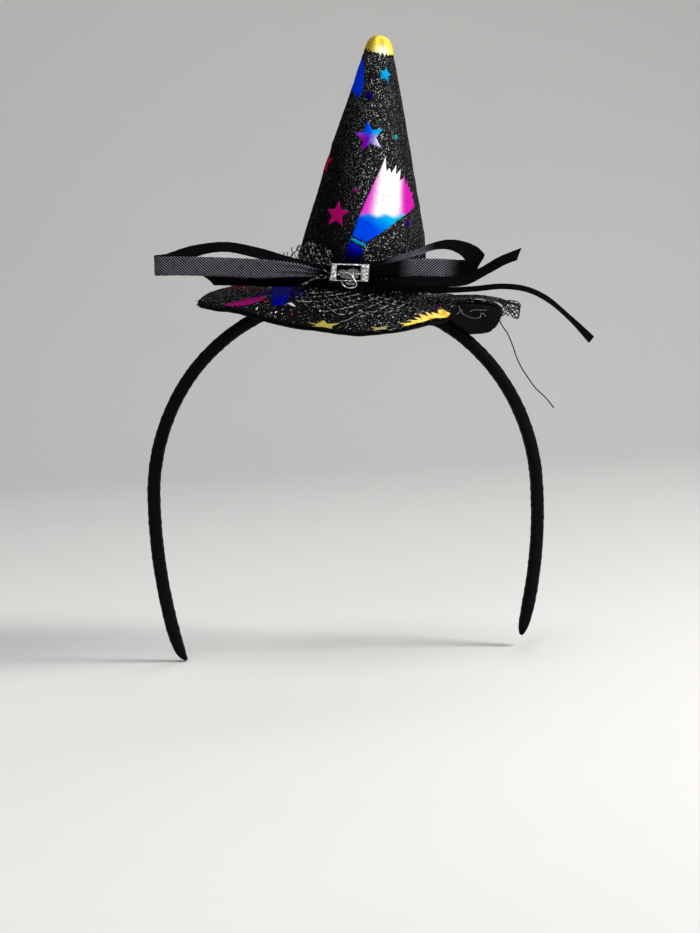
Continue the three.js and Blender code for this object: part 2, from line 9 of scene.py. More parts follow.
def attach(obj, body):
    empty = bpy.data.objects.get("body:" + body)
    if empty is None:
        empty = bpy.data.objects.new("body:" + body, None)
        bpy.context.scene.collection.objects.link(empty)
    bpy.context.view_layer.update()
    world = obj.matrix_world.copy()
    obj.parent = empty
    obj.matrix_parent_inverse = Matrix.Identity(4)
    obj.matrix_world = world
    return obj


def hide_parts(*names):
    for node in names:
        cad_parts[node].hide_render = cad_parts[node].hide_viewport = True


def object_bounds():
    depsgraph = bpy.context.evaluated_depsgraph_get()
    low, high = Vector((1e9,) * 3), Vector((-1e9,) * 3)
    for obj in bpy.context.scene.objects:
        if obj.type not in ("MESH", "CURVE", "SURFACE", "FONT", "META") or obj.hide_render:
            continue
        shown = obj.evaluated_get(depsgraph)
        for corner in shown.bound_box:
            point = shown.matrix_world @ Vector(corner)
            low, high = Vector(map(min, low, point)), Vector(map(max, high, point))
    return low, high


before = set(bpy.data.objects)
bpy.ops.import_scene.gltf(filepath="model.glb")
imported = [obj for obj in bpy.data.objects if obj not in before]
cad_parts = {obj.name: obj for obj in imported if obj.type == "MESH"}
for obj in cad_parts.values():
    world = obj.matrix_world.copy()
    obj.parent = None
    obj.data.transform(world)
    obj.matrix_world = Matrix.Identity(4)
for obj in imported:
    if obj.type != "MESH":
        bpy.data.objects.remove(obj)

# Lengths here are millimetres in the hat's own frame or the part's, and MM turns them into metres
MM = 0.001
cad_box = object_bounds()
rng = np.random.default_rng(7)

# Headband, as the solids have it
BAND_THICKNESS = 5.6
BAND_WIDTH = 9.5
BAND_TOP = {"radius": 79.7, "sweep": 58.7}
BAND_SHOULDER = {"radius": 87, "sweep": 29.8}
BAND_LEFT = {"radius": 238, "sweep": 17}
BAND_RIGHT = {"radius": 199, "sweep": 19}
BAND_TIP = 13

# The hat's seat on the band
SEAT_ANGLE = 6.9
PITCH_ANGLE = 9.5
FOOT_ABOVE_BAND = 6.152

# Hat
CLEARANCE = 0.3
CROWN_HEIGHT = 103
CROWN_FOOT = 28
CROWN_WALL = 1.6
CROWN_BOW = 0.7
CROWN_DENT = 0.5
BRIM_RADIUS = 66
BRIM_DROOP = 14
BRIM_WALL = 1.3
LINING_WALL = 1.0
LINING_GAP = 0.15

# Ribbon, knot and buckle
RIBBON_WIDTH = 7.7
RIBBON_THICKNESS = 0.4
RIBBON_STEP = 0.22
SOLID_RIBBON_THICKNESS = 1
KNOT_SIZE = (13, 5.6, 8.2)
KNOT_OFFSET = -4.8
KNOT_RISE = 9.5
BUCKLE_SIZE = (16, 1.4, 7.4)
BUCKLE_POST = 3.2
PRONG_DIAMETER = 0.5

# Net
NET_THICKNESS = 0.9
NET_LIFT = 4
STRAND = 0.4
TUFT_HEIGHT = 11
VEIL_WAVE = 0.08
TUFT_WAVE = 0.3

# Camera: the photographed view's distance, angles, scale at the origin and the origin's pixel
VIEW_DISTANCE = 1200
VIEW_ELEVATION = 4
VIEW_ROLL = 2.6
MM_PER_PIXEL = 0.42
FRAME_PIXELS = (700, 933)
ORIGIN_PIXEL = (336.7, 303)
SENSOR = 36

# Crown profile from foot to top: height and radius as shares
CROWN_PROFILE = [
    (0, 1), (0.06, 0.965), (0.175, 0.908), (0.35, 0.758), (0.53, 0.6), (0.74, 0.4),
    (0.88, 0.265), (0.94, 0.207), (0.972, 0.163), (0.99, 0.112), (0.997, 0.065), (1, 0),
]

# Rim of the brim from the left end past the front: turn in degrees, reach and droop.
# It lies within a millimetre or so of the solids' rim.
BRIM_RIM = [
    (-180, 1.015, 0.86), (-165, 1.01, 0.77), (-150, 1, 0.61), (-135, 1, 0.49), (-120, 1, 0.53),
    (-105, 1, 0.57), (-90, 1, 0.565), (-75, 1, 0.39), (-62, 0.995, 0.15), (-55, 0.945, 0.14),
    (-49, 0.885, -0.12), (-42, 0.878, -0.2), (-30, 0.93, -0.12), (-15, 0.93, 0.16), (0, 0.915, 0.62),
    (15, 0.915, 1.16), (30, 0.92, 1.54), (45, 0.925, 1.7), (60, 0.935, 1.68), (75, 0.945, 1.45),
    (90, 0.96, 1.28), (110, 0.98, 1.1), (130, 0.955, 0.95), (155, 0.975, 0.84),
]

# Ribbon routes from the knot, close to the solids': out, back, up, lean in degrees and width.
# Side is 1 to the right, size has the route's reaches and slant is how far the cut end leans.
BOW = {
    "bow_left_loop": {
        "side": -1, "size": (72.3, 14, 8), "slant": 0,
        "route": [
            (0, 0.12, -0.08, 30, 0.45), (0.12, 0.28, -0.06, 50, 0.75), (0.27, 0.44, 0.12, 64, 0.95),
            (0.45, 0.62, 0.42, 68, 1), (0.62, 0.74, 0.56, 68, 1), (0.79, 0.74, 0.2, 62, 1),
            (0.93, 0.54, -0.42, 38, 1), (1, 0.18, -0.5, 10, 1), (0.985, -0.12, -0.46, 0, 1),
            (0.88, -0.25, -0.34, 0, 1), (0.62, -0.3, -0.2, 0, 1), (0.4, -0.29, -0.14, 0, 1),
            (0.2, -0.24, -0.09, 0, 0.72), (0.08, -0.18, -0.16, 0, 0.44), (0, -0.13, -0.13, 0, 0.4),
        ],
    },
    "bow_left_lower_loop": {
        "side": -1, "size": (50.5, 8, 8), "slant": 0,
        "route": [
            (0, 0.21, -0.5, 8, 0.36), (0.15, 0.46, -0.6, 12, 0.64), (0.4, 0.7, -0.76, 24, 0.9),
            (0.7, 0.85, -0.9, 40, 1), (0.94, 0.76, -1.02, 54, 1), (1, 0.48, -1.04, 58, 1),
            (0.94, 0.22, -0.98, 55, 1), (0.7, 0.12, -0.84, 48, 1), (0.4, 0.1, -0.74, 30, 0.9),
            (0.15, 0.02, -0.58, 10, 0.64), (0, -0.02, -0.5, 0, 0.36),
        ],
    },
    "bow_right_loop": {
        "side": 1, "size": (45, 12, 16), "slant": 0,
        "route": [
            (0, 0.14, 0.1, 30, 0.45), (0.14, 0.16, 0.23, 66, 0.8), (0.27, 0.18, 0.38, 78, 0.95),
            (0.45, 0.25, 0.61, 86, 1), (0.6, 0.38, 0.775, 80, 1), (0.75, 0.48, 0.81, 64, 1),
            (0.9, 0.45, 0.68, 46, 1), (0.985, 0.24, 0.48, 31, 1), (0.985, -0.06, 0.34, 20, 1),
            (0.87, -0.23, 0.3, 6, 1), (0.6, -0.3, 0.28, 0, 1), (0.35, -0.27, 0.21, 0, 0.95),
            (0.15, -0.22, 0.09, 0, 0.7), (0, -0.16, 0.03, 0, 0.45),
        ],
    },
    "bow_tail_short": {
        "side": 1, "size": (60.4, 12, 16), "slant": 2.2,
        "route": [
            (0, -0.1, -0.24, 16, 0.36), (0.14, -0.46, -0.19, 44, 0.55), (0.3, -0.74, -0.035, 64, 0.88),
            (0.5, -0.82, 0.015, 67, 1), (0.65, -0.85, 0.09, 70, 1), (0.78, -0.8, 0.37, 75, 1),
            (0.89, -0.72, 0.65, 74, 1), (1, -0.64, 0.85, 73, 1),
        ],
    },
    "bow_tail_long": {
        "side": 1, "size": (94, 12, 16), "slant": 0.8,
        "route": [
            (0, 0.1, -0.24, 20, 0.36), (0.09, 0.1, -0.32, 50, 0.6), (0.2, 0.08, -0.33, 72, 0.9),
            (0.34, 0.04, -0.305, 82, 1), (0.47, 0, -0.22, 84, 1), (0.59, 0.02, -0.1, 84, 1),
            (0.69, 0.05, -0.12, 82, 1), (0.78, 0.1, -0.32, 79, 1), (0.89, 0.16, -0.79, 78, 1),
            (1, 0.22, -1.33, 70, 1.1),
        ],
    },
}

# Blunt corner at the brim's left end: turn and width in degrees, and reach
CORNER_TURN = 183
CORNER_WIDTH = 7
CORNER_REACH = 0.9

# Veil from its left end: turn about the crown, inner reach and lift, outer reach and lift
VEIL_ROWS = [
    (-126, 0.5, 0.2, 0.7, 0.08), (-109, 0.5, 0.35, 0.8, 0.1), (-91, 0.52, 0.42, 0.84, 0.12),
    (-74, 0.54, 0.36, 0.84, 0.12), (-58, 0.61, 0.22, 0.85, 0.12), (-44, 0.74, 0.16, 0.9, 0.12),
    (-32, 0.9, 0.3, 1, 0.1), (-25, 1.1, 0.25, 1.07, -1.6),
]
VEIL_CELLS = (15, 4)
TUFT_CELLS = (7, 3)
TUFT_TURNS = (-153, -115)

# Loose thread: x and z in the hat's frame, at one depth
THREAD_DEPTH = -8
THREAD_DIAMETER = 0.5
THREAD_ROUTE = [
    (57.6, -9.2), (58.9, -10.1), (60.4, -12.5), (62.7, -15.3), (65.2, -19.8), (67.6, -25.2),
    (69.8, -29.3), (73.2, -33.8), (76.7, -37.8), (81, -41.3), (85.2, -45.8),
]


def turn_matrix(degrees, axis):
    return Matrix.Rotation(math.radians(degrees), 4, axis)


def hat_matrix():
    """The hat's frame in the part's, both in millimetres."""
    low = Matrix.Translation((0, 0, BAND_THICKNESS / 2 - BAND_TOP["radius"]))
    high = Matrix.Translation((0, 0, BAND_TOP["radius"]))
    foot = Matrix.Translation((0, 0, FOOT_ABOVE_BAND))
    return low @ turn_matrix(SEAT_ANGLE, "Y") @ high @ turn_matrix(PITCH_ANGLE, "X") @ foot


HAT = np.array(hat_matrix())


def from_hat(points):
    """Points of the hat's frame in the part's."""
    return points @ HAT[:3, :3].T + HAT[:3, 3]


def smooth_step(low, high, value):
    share = np.clip((value - low) / (high - low), 0, 1)
    return share * share * (3 - 2 * share)


def stacked(*parts):
    """Arrays broadcast to one shape and set side by side along a new last axis."""
    return np.stack(np.broadcast_arrays(*parts), axis=-1)


def ring_angles(sides, offset=0):
    return 2 * np.pi * (np.arange(sides) + offset) / sides


def squared_off(value, power):
    """A sine or cosine that turns its circle into a rounded square."""
    return np.sign(value) * np.abs(value) ** power


def value_noise(points, size, seed):
    """Smooth seeded noise from -1 to 1 that varies over about the size given, at points (..., 3)."""
    place = np.asarray(points, float) / size
    cell = np.floor(place).astype(np.int64)
    share = place - cell
    share = share * share * (3 - 2 * share)
    total = np.zeros(place.shape[:-1])
    for corner in np.ndindex(2, 2, 2):
        key = (cell + corner) @ np.array([73856093, 19349663, 83492791]) + seed * 9781
        key = ((key ^ (key >> 13)) * 1274126177) & 0x7FFFFFFF
        value = ((key ^ (key >> 15)) % 4096) / 2047.5 - 1
        total += value * np.prod(np.where(corner, share, 1 - share), axis=-1)
    return total


def column(rows, index, share):
    """Catmull-Rom value of one column of evenly spaced rows at shares from 0 to 1."""
    values = np.array([row[index] for row in rows], float)
    last = len(values) - 1
    place = np.clip(np.asarray(share, float), 0, 1) * last
    start = np.minimum(np.floor(place).astype(int), last - 1)
    t = place - start
    before, low, high, after = (values[np.clip(start + step, 0, last)] for step in (-1, 0, 1, 2))
    bend = (2 * before - 5 * low + 4 * high - after) * t**2 + (3 * low - before - 3 * high + after) * t**3
    return low + 0.5 * ((high - before) * t + bend)


def centripetal(stops, shares):
    """Points on the centripetal Catmull-Rom curve through the stops."""
    stops = np.array(stops, float)
    first = 2 * stops[0] - stops[1]
    last = 2 * stops[-1] - stops[-2]
    full = np.vstack([first, stops, last])
    points = []
    for share in shares:
        place = share * (len(stops) - 1)
        index = min(int(place), len(stops) - 2)
        t = place - index
        p = full[index:index + 4]
        d = [max(np.linalg.norm(p[k + 1] - p[k]) ** 0.5, 1e-4) for k in range(3)]
        m1 = (p[1] - p[0]) / d[0] - (p[2] - p[0]) / (d[0] + d[1]) + (p[2] - p[1]) / d[1]
        m2 = (p[2] - p[1]) / d[1] - (p[3] - p[1]) / (d[1] + d[2]) + (p[3] - p[2]) / d[2]
        m1, m2 = m1 * d[1], m2 * d[1]
        a = 2 * p[1] - 2 * p[2] + m1 + m2
        b = -3 * p[1] + 3 * p[2] - 2 * m1 - m2
        points.append(a * t**3 + b * t**2 + m1 * t + p[1])
    return np.array(points)


def step_lengths(path):
    return np.linalg.norm(np.diff(path, axis=0), axis=1)


def unit(vectors):
    return vectors / np.maximum(np.linalg.norm(vectors, axis=-1, keepdims=True), 1e-9)


def grid_faces(rows, count, closed=True):
    """Quads between rows of count points; closed joins each row's last point to its first."""
    i = np.arange(count if closed else count - 1)
    j = (i + 1) % count
    row = np.arange(rows - 1)[:, None] * count
    return stacked(row + i, row + j, row + count + j, row + count + i).reshape(-1, 4).tolist()


def pole_faces(start, count, pole, flip):
    ring = [start + i for i in range(count)]
    pairs = zip(ring, ring[1:] + ring[:1])
    return [(pole, b, a) if flip else (pole, a, b) for a, b in pairs]


def skin(loops):
    """Points and faces of a closed skin over an array of loops (rows, count, 3), with a pole at each end."""
    rows, count = loops.shape[:2]
    poles = [loops[0].mean(0), loops[-1].mean(0)]
    points = np.vstack([loops.reshape(-1, 3), poles])
    faces = grid_faces(rows, count)
    faces += pole_faces(0, count, rows * count, True)
    faces += pole_faces((rows - 1) * count, count, rows * count + 1, False)
    return points, faces


def new_object(name, data):
    thing = bpy.data.objects.new(name, data)
    bpy.context.scene.collection.objects.link(thing)
    return thing


def add_piece(name, body, material, replaces=(), in_hat=True, uv=None, colour=None):
    """A piece that rides on the part, from a body of points in millimetres and faces."""
    points, faces = body
    if in_hat:
        points = from_hat(points)
    mesh = bpy.data.meshes.new(name)
    mesh.from_pydata((points * MM).tolist(), [], [tuple(face) for face in faces])
    mesh.validate()
    flip_if_inward(mesh)
    mesh.shade_smooth()
    if uv is not None:
        corner = np.zeros(len(mesh.loops), int)
        mesh.loops.foreach_get("vertex_index", corner)
        layer = mesh.uv_layers.new(name="weave")
        layer.data.foreach_set("uv", np.asarray(uv, float)[corner].ravel())
    if colour is not None:
        layer = mesh.color_attributes.new("tint", "FLOAT_COLOR", "POINT")
        rgba = np.hstack([colour, np.ones((len(colour), 1))])
        layer.data.foreach_set("color", rgba.ravel())
    mesh.materials.append(material)
    piece = new_object(name, mesh)
    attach(piece, "root")
    if replaces:
        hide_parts(*replaces)
    return piece


def flip_if_inward(mesh):
    """Turns the faces of a closed mesh outwards."""
    mesh.calc_loop_triangles()
    corners = np.zeros(len(mesh.vertices) * 3)
    mesh.vertices.foreach_get("co", corners)
    triangles = np.zeros(len(mesh.loop_triangles) * 3, int)
    mesh.loop_triangles.foreach_get("vertices", triangles)
    a, b, c = np.moveaxis(corners.reshape(-1, 3)[triangles.reshape(-1, 3)], 1, 0)
    if (a * np.cross(b, c)).sum() < 0:
        mesh.flip_normals()


def tube(path, radius, sides):
    """Loops of a tube along a path; radius may vary by point."""
    along = unit(np.gradient(path, axis=0))
    radius = np.broadcast_to(radius, len(path))
    across = np.zeros_like(path)
    guide = np.array([0, 0, 1.0]) if abs(along[0][2]) < 0.9 else np.array([1.0, 0, 0])
    for i, direction in enumerate(along):
        guide = guide - direction * (guide @ direction)
        guide = guide / np.linalg.norm(guide)
        across[i] = guide
    other = np.cross(along, across)
    angle = ring_angles(sides)
    ring = across[:, None] * np.cos(angle)[:, None] + other[:, None] * np.sin(angle)[:, None]
    return path[:, None] + ring * radius[:, None, None]


def smooth_tube(stops, count, radius, sides):
    """Closed tube along the smooth curve through the stops."""
    return skin(tube(centripetal(stops, np.linspace(0, 1, count)), radius, sides))


def joined(bodies):
    """One body of points and faces from many."""
    points, faces, start = [], [], 0
    for body_points, body_faces in bodies:
        points.append(body_points)
        faces += [tuple(start + corner for corner in face) for face in body_faces]
        start += len(body_points)
    return np.vstack(points), faces


class Paint:
    """A procedural material: a Principled shader and the nodes that feed it."""

    def __init__(self, name, **values):
        self.material = bpy.data.materials.new(name)
        self.material.use_nodes = True
        self.tree = self.material.node_tree
        self.shader = self.tree.nodes["Principled BSDF"]
        for socket, value in values.items():
            self.feed(self.shader.inputs[socket.replace("_", " ")], value)
        self.place = self.node("TexCoord").outputs["Object"]

    def feed(self, socket, value):
        if isinstance(value, bpy.types.NodeSocket):
            self.tree.links.new(value, socket)
        else:
            size = len(value) if hasattr(value, "__len__") else 0
            socket.default_value = (*value, 1) if size == 3 and socket.type == "RGBA" else value

    def node(self, kind, settings=None, **inputs):
        node = self.tree.nodes.new("ShaderNode" + kind)
        for key, value in (settings or {}).items():
            setattr(node, key, value)
        for key, value in inputs.items():
            index = int(key[1:]) if key[1:].isdigit() else key.replace("_", " ")
            self.feed(node.inputs[index], value)
        return node

    def set(self, socket, value):
        self.feed(self.shader.inputs[socket], value)

    def noise(self, scale, detail, roughness=0.6):
        inputs = {"Vector": self.place, "Scale": scale, "Detail": detail, "Roughness": roughness}
        return self.node("TexNoise", None, **inputs).outputs[0]

    def voronoi(self, scale):
        """Outputs of a cell pattern: each cell has a random colour."""
        return self.node("TexVoronoi", None, Vector=self.place, Scale=scale).outputs

    def math(self, operation, a, b=0.0):
        return self.node("Math", {"operation": operation}, i0=a, i1=b).outputs[0]

    def product(self, a, b):
        return self.math("MULTIPLY", a, b)

    def vector(self, operation, **inputs):
        return self.node("VectorMath", {"operation": operation}, **inputs).outputs[0]

    def parts(self, vector):
        return self.node("SeparateXYZ", None, Vector=vector).outputs

    def channels(self, colour):
        return self.node("SeparateColor", None, Color=colour).outputs

    def ramp(self, value, low, high, to_low=0.0, to_high=1.0):
        inputs = {"i0": value, "i1": low, "i2": high, "i3": to_low, "i4": to_high}
        return self.node("MapRange", {"interpolation_type": "SMOOTHSTEP"}, **inputs).outputs[0]

    def mix(self, share, a, b):
        mixer = self.node("Mix", {"data_type": "RGBA"})
        self.feed(mixer.inputs[0], share)
        self.feed(mixer.inputs[6], a)
        self.feed(mixer.inputs[7], b)
        return mixer.outputs[2]

    def bump(self, height, strength, distance, normal=None):
        bump = self.node("Bump", None, Height=height, Strength=strength, Distance=distance * MM)
        if normal is not None:
            self.feed(bump.inputs["Normal"], normal)
        return bump.outputs[0]

    def weave(self, along, across):
        """Parallel ridges in the weave map, with so many cycles a millimetre each way."""
        u, v, _ = self.parts(self.node("UVMap", {"uv_map": "weave"}).outputs[0])
        phase = self.math("ADD", self.product(u, 2 * math.pi * along), self.product(v, 2 * math.pi * across))
        return self.ramp(self.math("SINE", phase), -1, 1)

    def specks(self, cells, pick, share, size):
        """1 in the middles of the share of cells that their random pick chooses, and 0 elsewhere."""
        return self.product(self.math("GREATER_THAN", pick, 1 - share),
                            self.math("LESS_THAN", cells["Distance"], size))

    def scatter(self, cells, amount, normal):
        """Shading normal that tilts at random from cell to cell, by the amount given."""
        centred = self.vector("SUBTRACT", i0=cells["Color"], i1=(0.5, 0.5, 0.5))
        tilt = self.vector("SCALE", i0=centred, Scale=amount)
        self.set("Normal", self.vector("NORMALIZE", i0=self.vector("ADD", i0=normal, i1=tilt)))

    def colour(self, share, a, b):
        self.set("Base Color", self.mix(share, a, b))

    def rough(self, *ramp):
        self.set("Roughness", self.ramp(*ramp))

    def relief(self, *bump):
        self.set("Normal", self.bump(*bump))


def sparkle(paint, scale, share, colour, dark, normal):
    """Flecks in the cloth: some cells of a fine pattern turn metallic and tilt at random, their colour
    painted brighter towards the right as a painted highlight of the key light.
    """
    cells = paint.voronoi(scale)
    pick = paint.channels(cells["Color"])
    fleck = paint.specks(cells, pick[0], share, 0.42)
    paint.scatter(cells, fleck, normal)
    paint.set("Metallic", fleck)
    few = paint.ramp(pick[1], 0.1, 1, 0.02, 1)
    # Painted highlight: flecks grow brighter towards the right, where the key light falls.
    painted_key_light = paint.ramp(paint.parts(paint.place)[0], 0, 0.024, 0.04, 1.6)
    paint.colour(paint.product(fleck, paint.product(few, painted_key_light)), dark, colour)
    return fleck


def hat_cloth():
    """Black cloth with flecks, its fibres painted paler at the upper right: a painted highlight where the
    key light grazes it.
    """
    paint = Paint("hat_cloth", Specular_IOR_Level=0.0)
    fibre = paint.noise(2600, 4, 0.7)
    cloud = paint.noise(160, 3)
    across, _, up = paint.parts(paint.place)
    # Painted highlight: the fibres' colour grows paler towards the upper right, where the key light falls.
    painted_key_light = paint.product(paint.ramp(across, 0, 0.024), paint.ramp(up, 0.01, 0.03))
    pale = paint.mix(painted_key_light, (0.01, 0.01, 0.011), (0.036, 0.036, 0.039))
    dark = paint.mix(paint.ramp(fibre, 0.35, 0.75), (0.0008, 0.0008, 0.001), pale)
    dark = paint.mix(paint.ramp(cloud, 0.4, 0.8, 0, 0.5), dark, (0.001, 0.001, 0.0012))
    bump = paint.bump(fibre, 0.9, 0.2)
    fleck = sparkle(paint, 2100, 0.42, (0.34, 0.345, 0.36), dark, bump)
    paint.rough(fleck, 0, 1, 0.8, 0.42)
    return paint.material


def plain_felt():
    paint = Paint("plain_felt", Roughness=0.95, Specular_IOR_Level=0.0,
                  Sheen_Weight=0.01, Sheen_Roughness=0.5)
    fibre = paint.noise(1900, 5, 0.75)
    lint = paint.noise(600, 2)
    colour = paint.mix(paint.ramp(fibre, 0.35, 0.7), (0.003, 0.003, 0.0032), (0.016, 0.015, 0.015))
    paint.colour(paint.ramp(lint, 0.62, 0.8, 0, 0.3), colour, (0.022, 0.022, 0.023))
    paint.relief(fibre, 0.8, 0.3)
    return paint.material


def band_satin():
    paint = Paint("band_satin", Specular_IOR_Level=0.01)
    weave = paint.weave(1.3, 2.6)
    streak = paint.noise(420, 3)
    colour = paint.mix(weave, (0.0015, 0.0016, 0.002), (0.009, 0.009, 0.011))
    paint.colour(paint.ramp(streak, 0.4, 0.8, 0, 0.5), colour, (0.0012, 0.0012, 0.0015))
    paint.rough(streak, 0.3, 0.7, 0.4, 0.55)
    soft = paint.bump(streak, 0.25, 0.4)
    paint.relief(weave, 0.35, 0.06, soft)
    return paint.material


def ribbon_twill():
    """Twill ribbon: diagonal ridges between black furrows, in the point colour: their own dim grey with
    painted sheen where a strand faces the light.
    """
    paint = Paint("ribbon_twill", Specular_IOR_Level=0.0)
    twill = paint.weave(0.8, 0.9)
    thread = paint.weave(4.0, 0)
    uneven = paint.noise(420, 3)
    # Point colour: the ridges' own dim grey, plus painted sheen, a painted highlight, on some strands.
    ridge_tone_and_painted_sheen = paint.node("VertexColor", {"layer_name": "tint"}).outputs[0]
    colour = paint.mix(paint.ramp(twill, 0.58, 0.95), (0.0008, 0.0008, 0.001), ridge_tone_and_painted_sheen)
    paint.colour(paint.ramp(uneven, 0.45, 0.8, 0, 0.6), colour, (0.001, 0.001, 0.0012))
    paint.rough(uneven, 0.3, 0.75, 0.35, 0.55)
    fine = paint.bump(thread, 0.2, 0.04)
    paint.relief(twill, 0.8, 0.14, fine)
    return paint.material


def net_nylon():
    """Dark glossy strands, pale grey in patches up to 26 mm right of the part's middle as a painted
    highlight, and dark beyond 36 mm, over the twisted edge and free end.
    """
    paint = Paint("net_nylon", Specular_IOR_Level=0.15)
    uneven = paint.noise(700, 2)
    across = paint.parts(paint.place)[0]
    # Painted highlight: pale grey patches left of 26 mm across, fading to dark by 36 mm.
    painted_strand_highlight = paint.mix(paint.ramp(across, 0.026, 0.036), (0.3, 0.3, 0.3), (0.02, 0.016, 0.014))
    paint.colour(paint.ramp(uneven, 0.48, 0.62), (0.003, 0.003, 0.0035), painted_strand_highlight)
    paint.rough(uneven, 0.3, 0.7, 0.2, 0.35)
    paint.relief(uneven, 0.5, 0.1)
    return paint.material


def buckle_metal():
    """Bright silver with a crushed, sparkling face."""
    paint = Paint("buckle_metal", Metallic=0.9)
    cells = paint.voronoi(1700)
    uneven = paint.noise(700, 3)
    paint.colour(paint.ramp(uneven, 0.35, 0.65), (0.5, 0.5, 0.47), (0.95, 0.95, 0.93))
    paint.rough(uneven, 0.3, 0.7, 0.35, 0.2)
    paint.scatter(cells, 0.5, paint.node("NewGeometry").outputs["Normal"])
    return paint.material


def wire():
    paint = Paint("bright_wire", Metallic=1.0)
    uneven = paint.noise(900, 2)
    paint.colour(uneven, (0.6, 0.6, 0.58), (0.9, 0.9, 0.88))
    paint.rough(uneven, 0.3, 0.7, 0.15, 0.35)
    return paint.material


def foil():
    """Metallic print whose colour is laid down point by point, painted highlights and shade included on some
    pieces, rubbed through to the cloth in specks.
    """
    paint = Paint("foil_print", Specular_IOR_Level=0.0)
    colour = paint.node("VertexColor", {"layer_name": "tint"}).outputs[0]
    cells = paint.voronoi(2600)
    gap = paint.specks(cells, paint.channels(cells["Color"])[1], 0.06, 0.4)
    press = paint.noise(1500, 4, 0.7)
    paint.colour(gap, colour, (0.006, 0.006, 0.007))
    paint.set("Metallic", paint.ramp(gap, 0, 1, 0.06, 0))
    paint.rough(press, 0.3, 0.7, 0.3, 0.5)
    paint.relief(press, 0.3, 0.12)
    return paint.material


def flake():
    paint = Paint("glitter_flake", Metallic=1.0)
    tint = paint.noise(2500, 0)
    paint.colour(paint.ramp(tint, 0.35, 0.7), (0.25, 0.26, 0.29), (0.85, 0.84, 0.82))
    paint.rough(tint, 0.3, 0.7, 0.22, 0.38)
    return paint.material


def black_thread():
    paint = Paint("black_thread", Specular_IOR_Level=0.05)
    twist = paint.noise(2500, 2)
    paint.colour(twist, (0.002, 0.002, 0.002), (0.01, 0.01, 0.01))
    paint.rough(twist, 0.3, 0.7, 0.5, 0.7)
    paint.relief(twist, 0.6, 0.1)
    return paint.material


def pale_fibre():
    paint = Paint("pale_fibre", Transmission_Weight=0.3)
    shade = paint.noise(900, 2)
    paint.colour(shade, (0.16, 0.155, 0.14), (0.5, 0.49, 0.46))
    paint.rough(shade, 0.3, 0.7, 0.25, 0.5)
    return paint.material


def clear_glue():
    paint = Paint("clear_glue", Transmission_Weight=0.9, IOR=1.48)
    cloud = paint.noise(500, 3)
    paint.colour(cloud, (0.75, 0.75, 0.72), (0.95, 0.95, 0.93))
    paint.rough(cloud, 0.35, 0.7, 0.04, 0.25)
    paint.relief(cloud, 0.3, 0.3)
    return paint.material


def pale_floor():
    paint = Paint("pale_floor", Specular_IOR_Level=0.2)
    cloud = paint.noise(6, 3)
    paint.colour(cloud, (0.68, 0.67, 0.655), (0.71, 0.7, 0.685))
    paint.rough(cloud, 0.3, 0.7, 0.75, 0.9)
    return paint.material


def camera():
    """The camera that sees the part as the photograph does."""
    tilt = math.radians(VIEW_ELEVATION)
    roll = math.radians(VIEW_ROLL)
    forward = Vector((0, math.cos(tilt), -math.sin(tilt)))
    level_up = Vector((0, math.sin(tilt), math.cos(tilt)))
    level_right = Vector((1, 0, 0))
    right = level_right * math.cos(roll) - level_up * math.sin(roll)
    up = level_right * math.sin(roll) + level_up * math.cos(roll)
    across = (ORIGIN_PIXEL[0] - FRAME_PIXELS[0] / 2) * MM_PER_PIXEL
    down = (ORIGIN_PIXEL[1] - FRAME_PIXELS[1] / 2) * MM_PER_PIXEL
    place = (-forward * VIEW_DISTANCE - right * across + up * down) * MM
    data = bpy.data.cameras.new("camera")
    data.sensor_width = SENSOR
    data.lens = SENSOR * VIEW_DISTANCE / (FRAME_PIXELS[1] * MM_PER_PIXEL)
    data.clip_start = 0.01
    eye = new_object("camera", data)
    columns = Matrix((right, up, -forward)).transposed()
    eye.matrix_world = Matrix.Translation(place) @ columns.to_4x4()
    bpy.context.scene.camera = eye


# Lamps: turn from the front, rise, distance and size in metres, watts and colour
LAMPS = {
    "key": (66, 34, 1.1, 0.5, 12.5, (1, 0.98, 0.95)),
    "front": (-12, 26, 1.4, 0.8, 4, (0.96, 0.98, 1)),
    "top": (10, 80, 1.2, 0.8, 4, (1, 1, 1)),
    "back": (165, 40, 1.4, 0.7, 4, (1, 1, 1)),
}


def area_light(name, azimuth, elevation, distance, size, power, colour):
    """A soft lamp aimed at the hat; azimuth 0 is the front and 90 the right."""
    turn, rise = math.radians(azimuth), math.radians(elevation)
    way = Vector((math.sin(turn) * math.cos(rise), -math.cos(turn) * math.cos(rise), math.sin(rise)))
    data = bpy.data.lights.new(name, "AREA")
    data.shape = "DISK"
    data.size = size
    data.energy = power
    data.color = colour
    lamp = new_object(name, data)
    lamp.location = Vector((0, 0, 0.02)) + way * distance
    lamp.rotation_euler = way.to_track_quat("Z", "Y").to_euler()


def studio():
    """A pale sweep of floor and wall, a dim sky and the lamps: at the right, before, above and behind."""
    floor = cad_box[0][2] - 0.0004
    reach, back, bend = 3.0, 1.6, 0.5
    profile = [(-reach, floor), (back - bend, floor)]
    for step in range(1, 13):
        angle = math.pi / 2 * step / 12
        profile.append((back - bend + bend * math.sin(angle), floor + bend * (1 - math.cos(angle))))
    profile.append((back, floor + reach))
    points = [(x, y, z) for y, z in profile for x in (-reach, reach)]
    mesh = bpy.data.meshes.new("floor")
    mesh.from_pydata(points, [], grid_faces(len(profile), 2, False))
    mesh.shade_smooth()
    mesh.materials.append(pale_floor())
    sweep = new_object("floor", mesh)
    world = bpy.data.worlds.new("studio")
    world.use_nodes = True
    sky = world.node_tree.nodes["Background"].inputs
    sky["Color"].default_value = (0.95, 0.97, 1, 1)
    sky["Strength"].default_value = 0.3
    bpy.context.scene.world = world
    bpy.context.scene.view_settings.view_transform = "Standard"
    for name, values in LAMPS.items():
        area_light(name, *values)


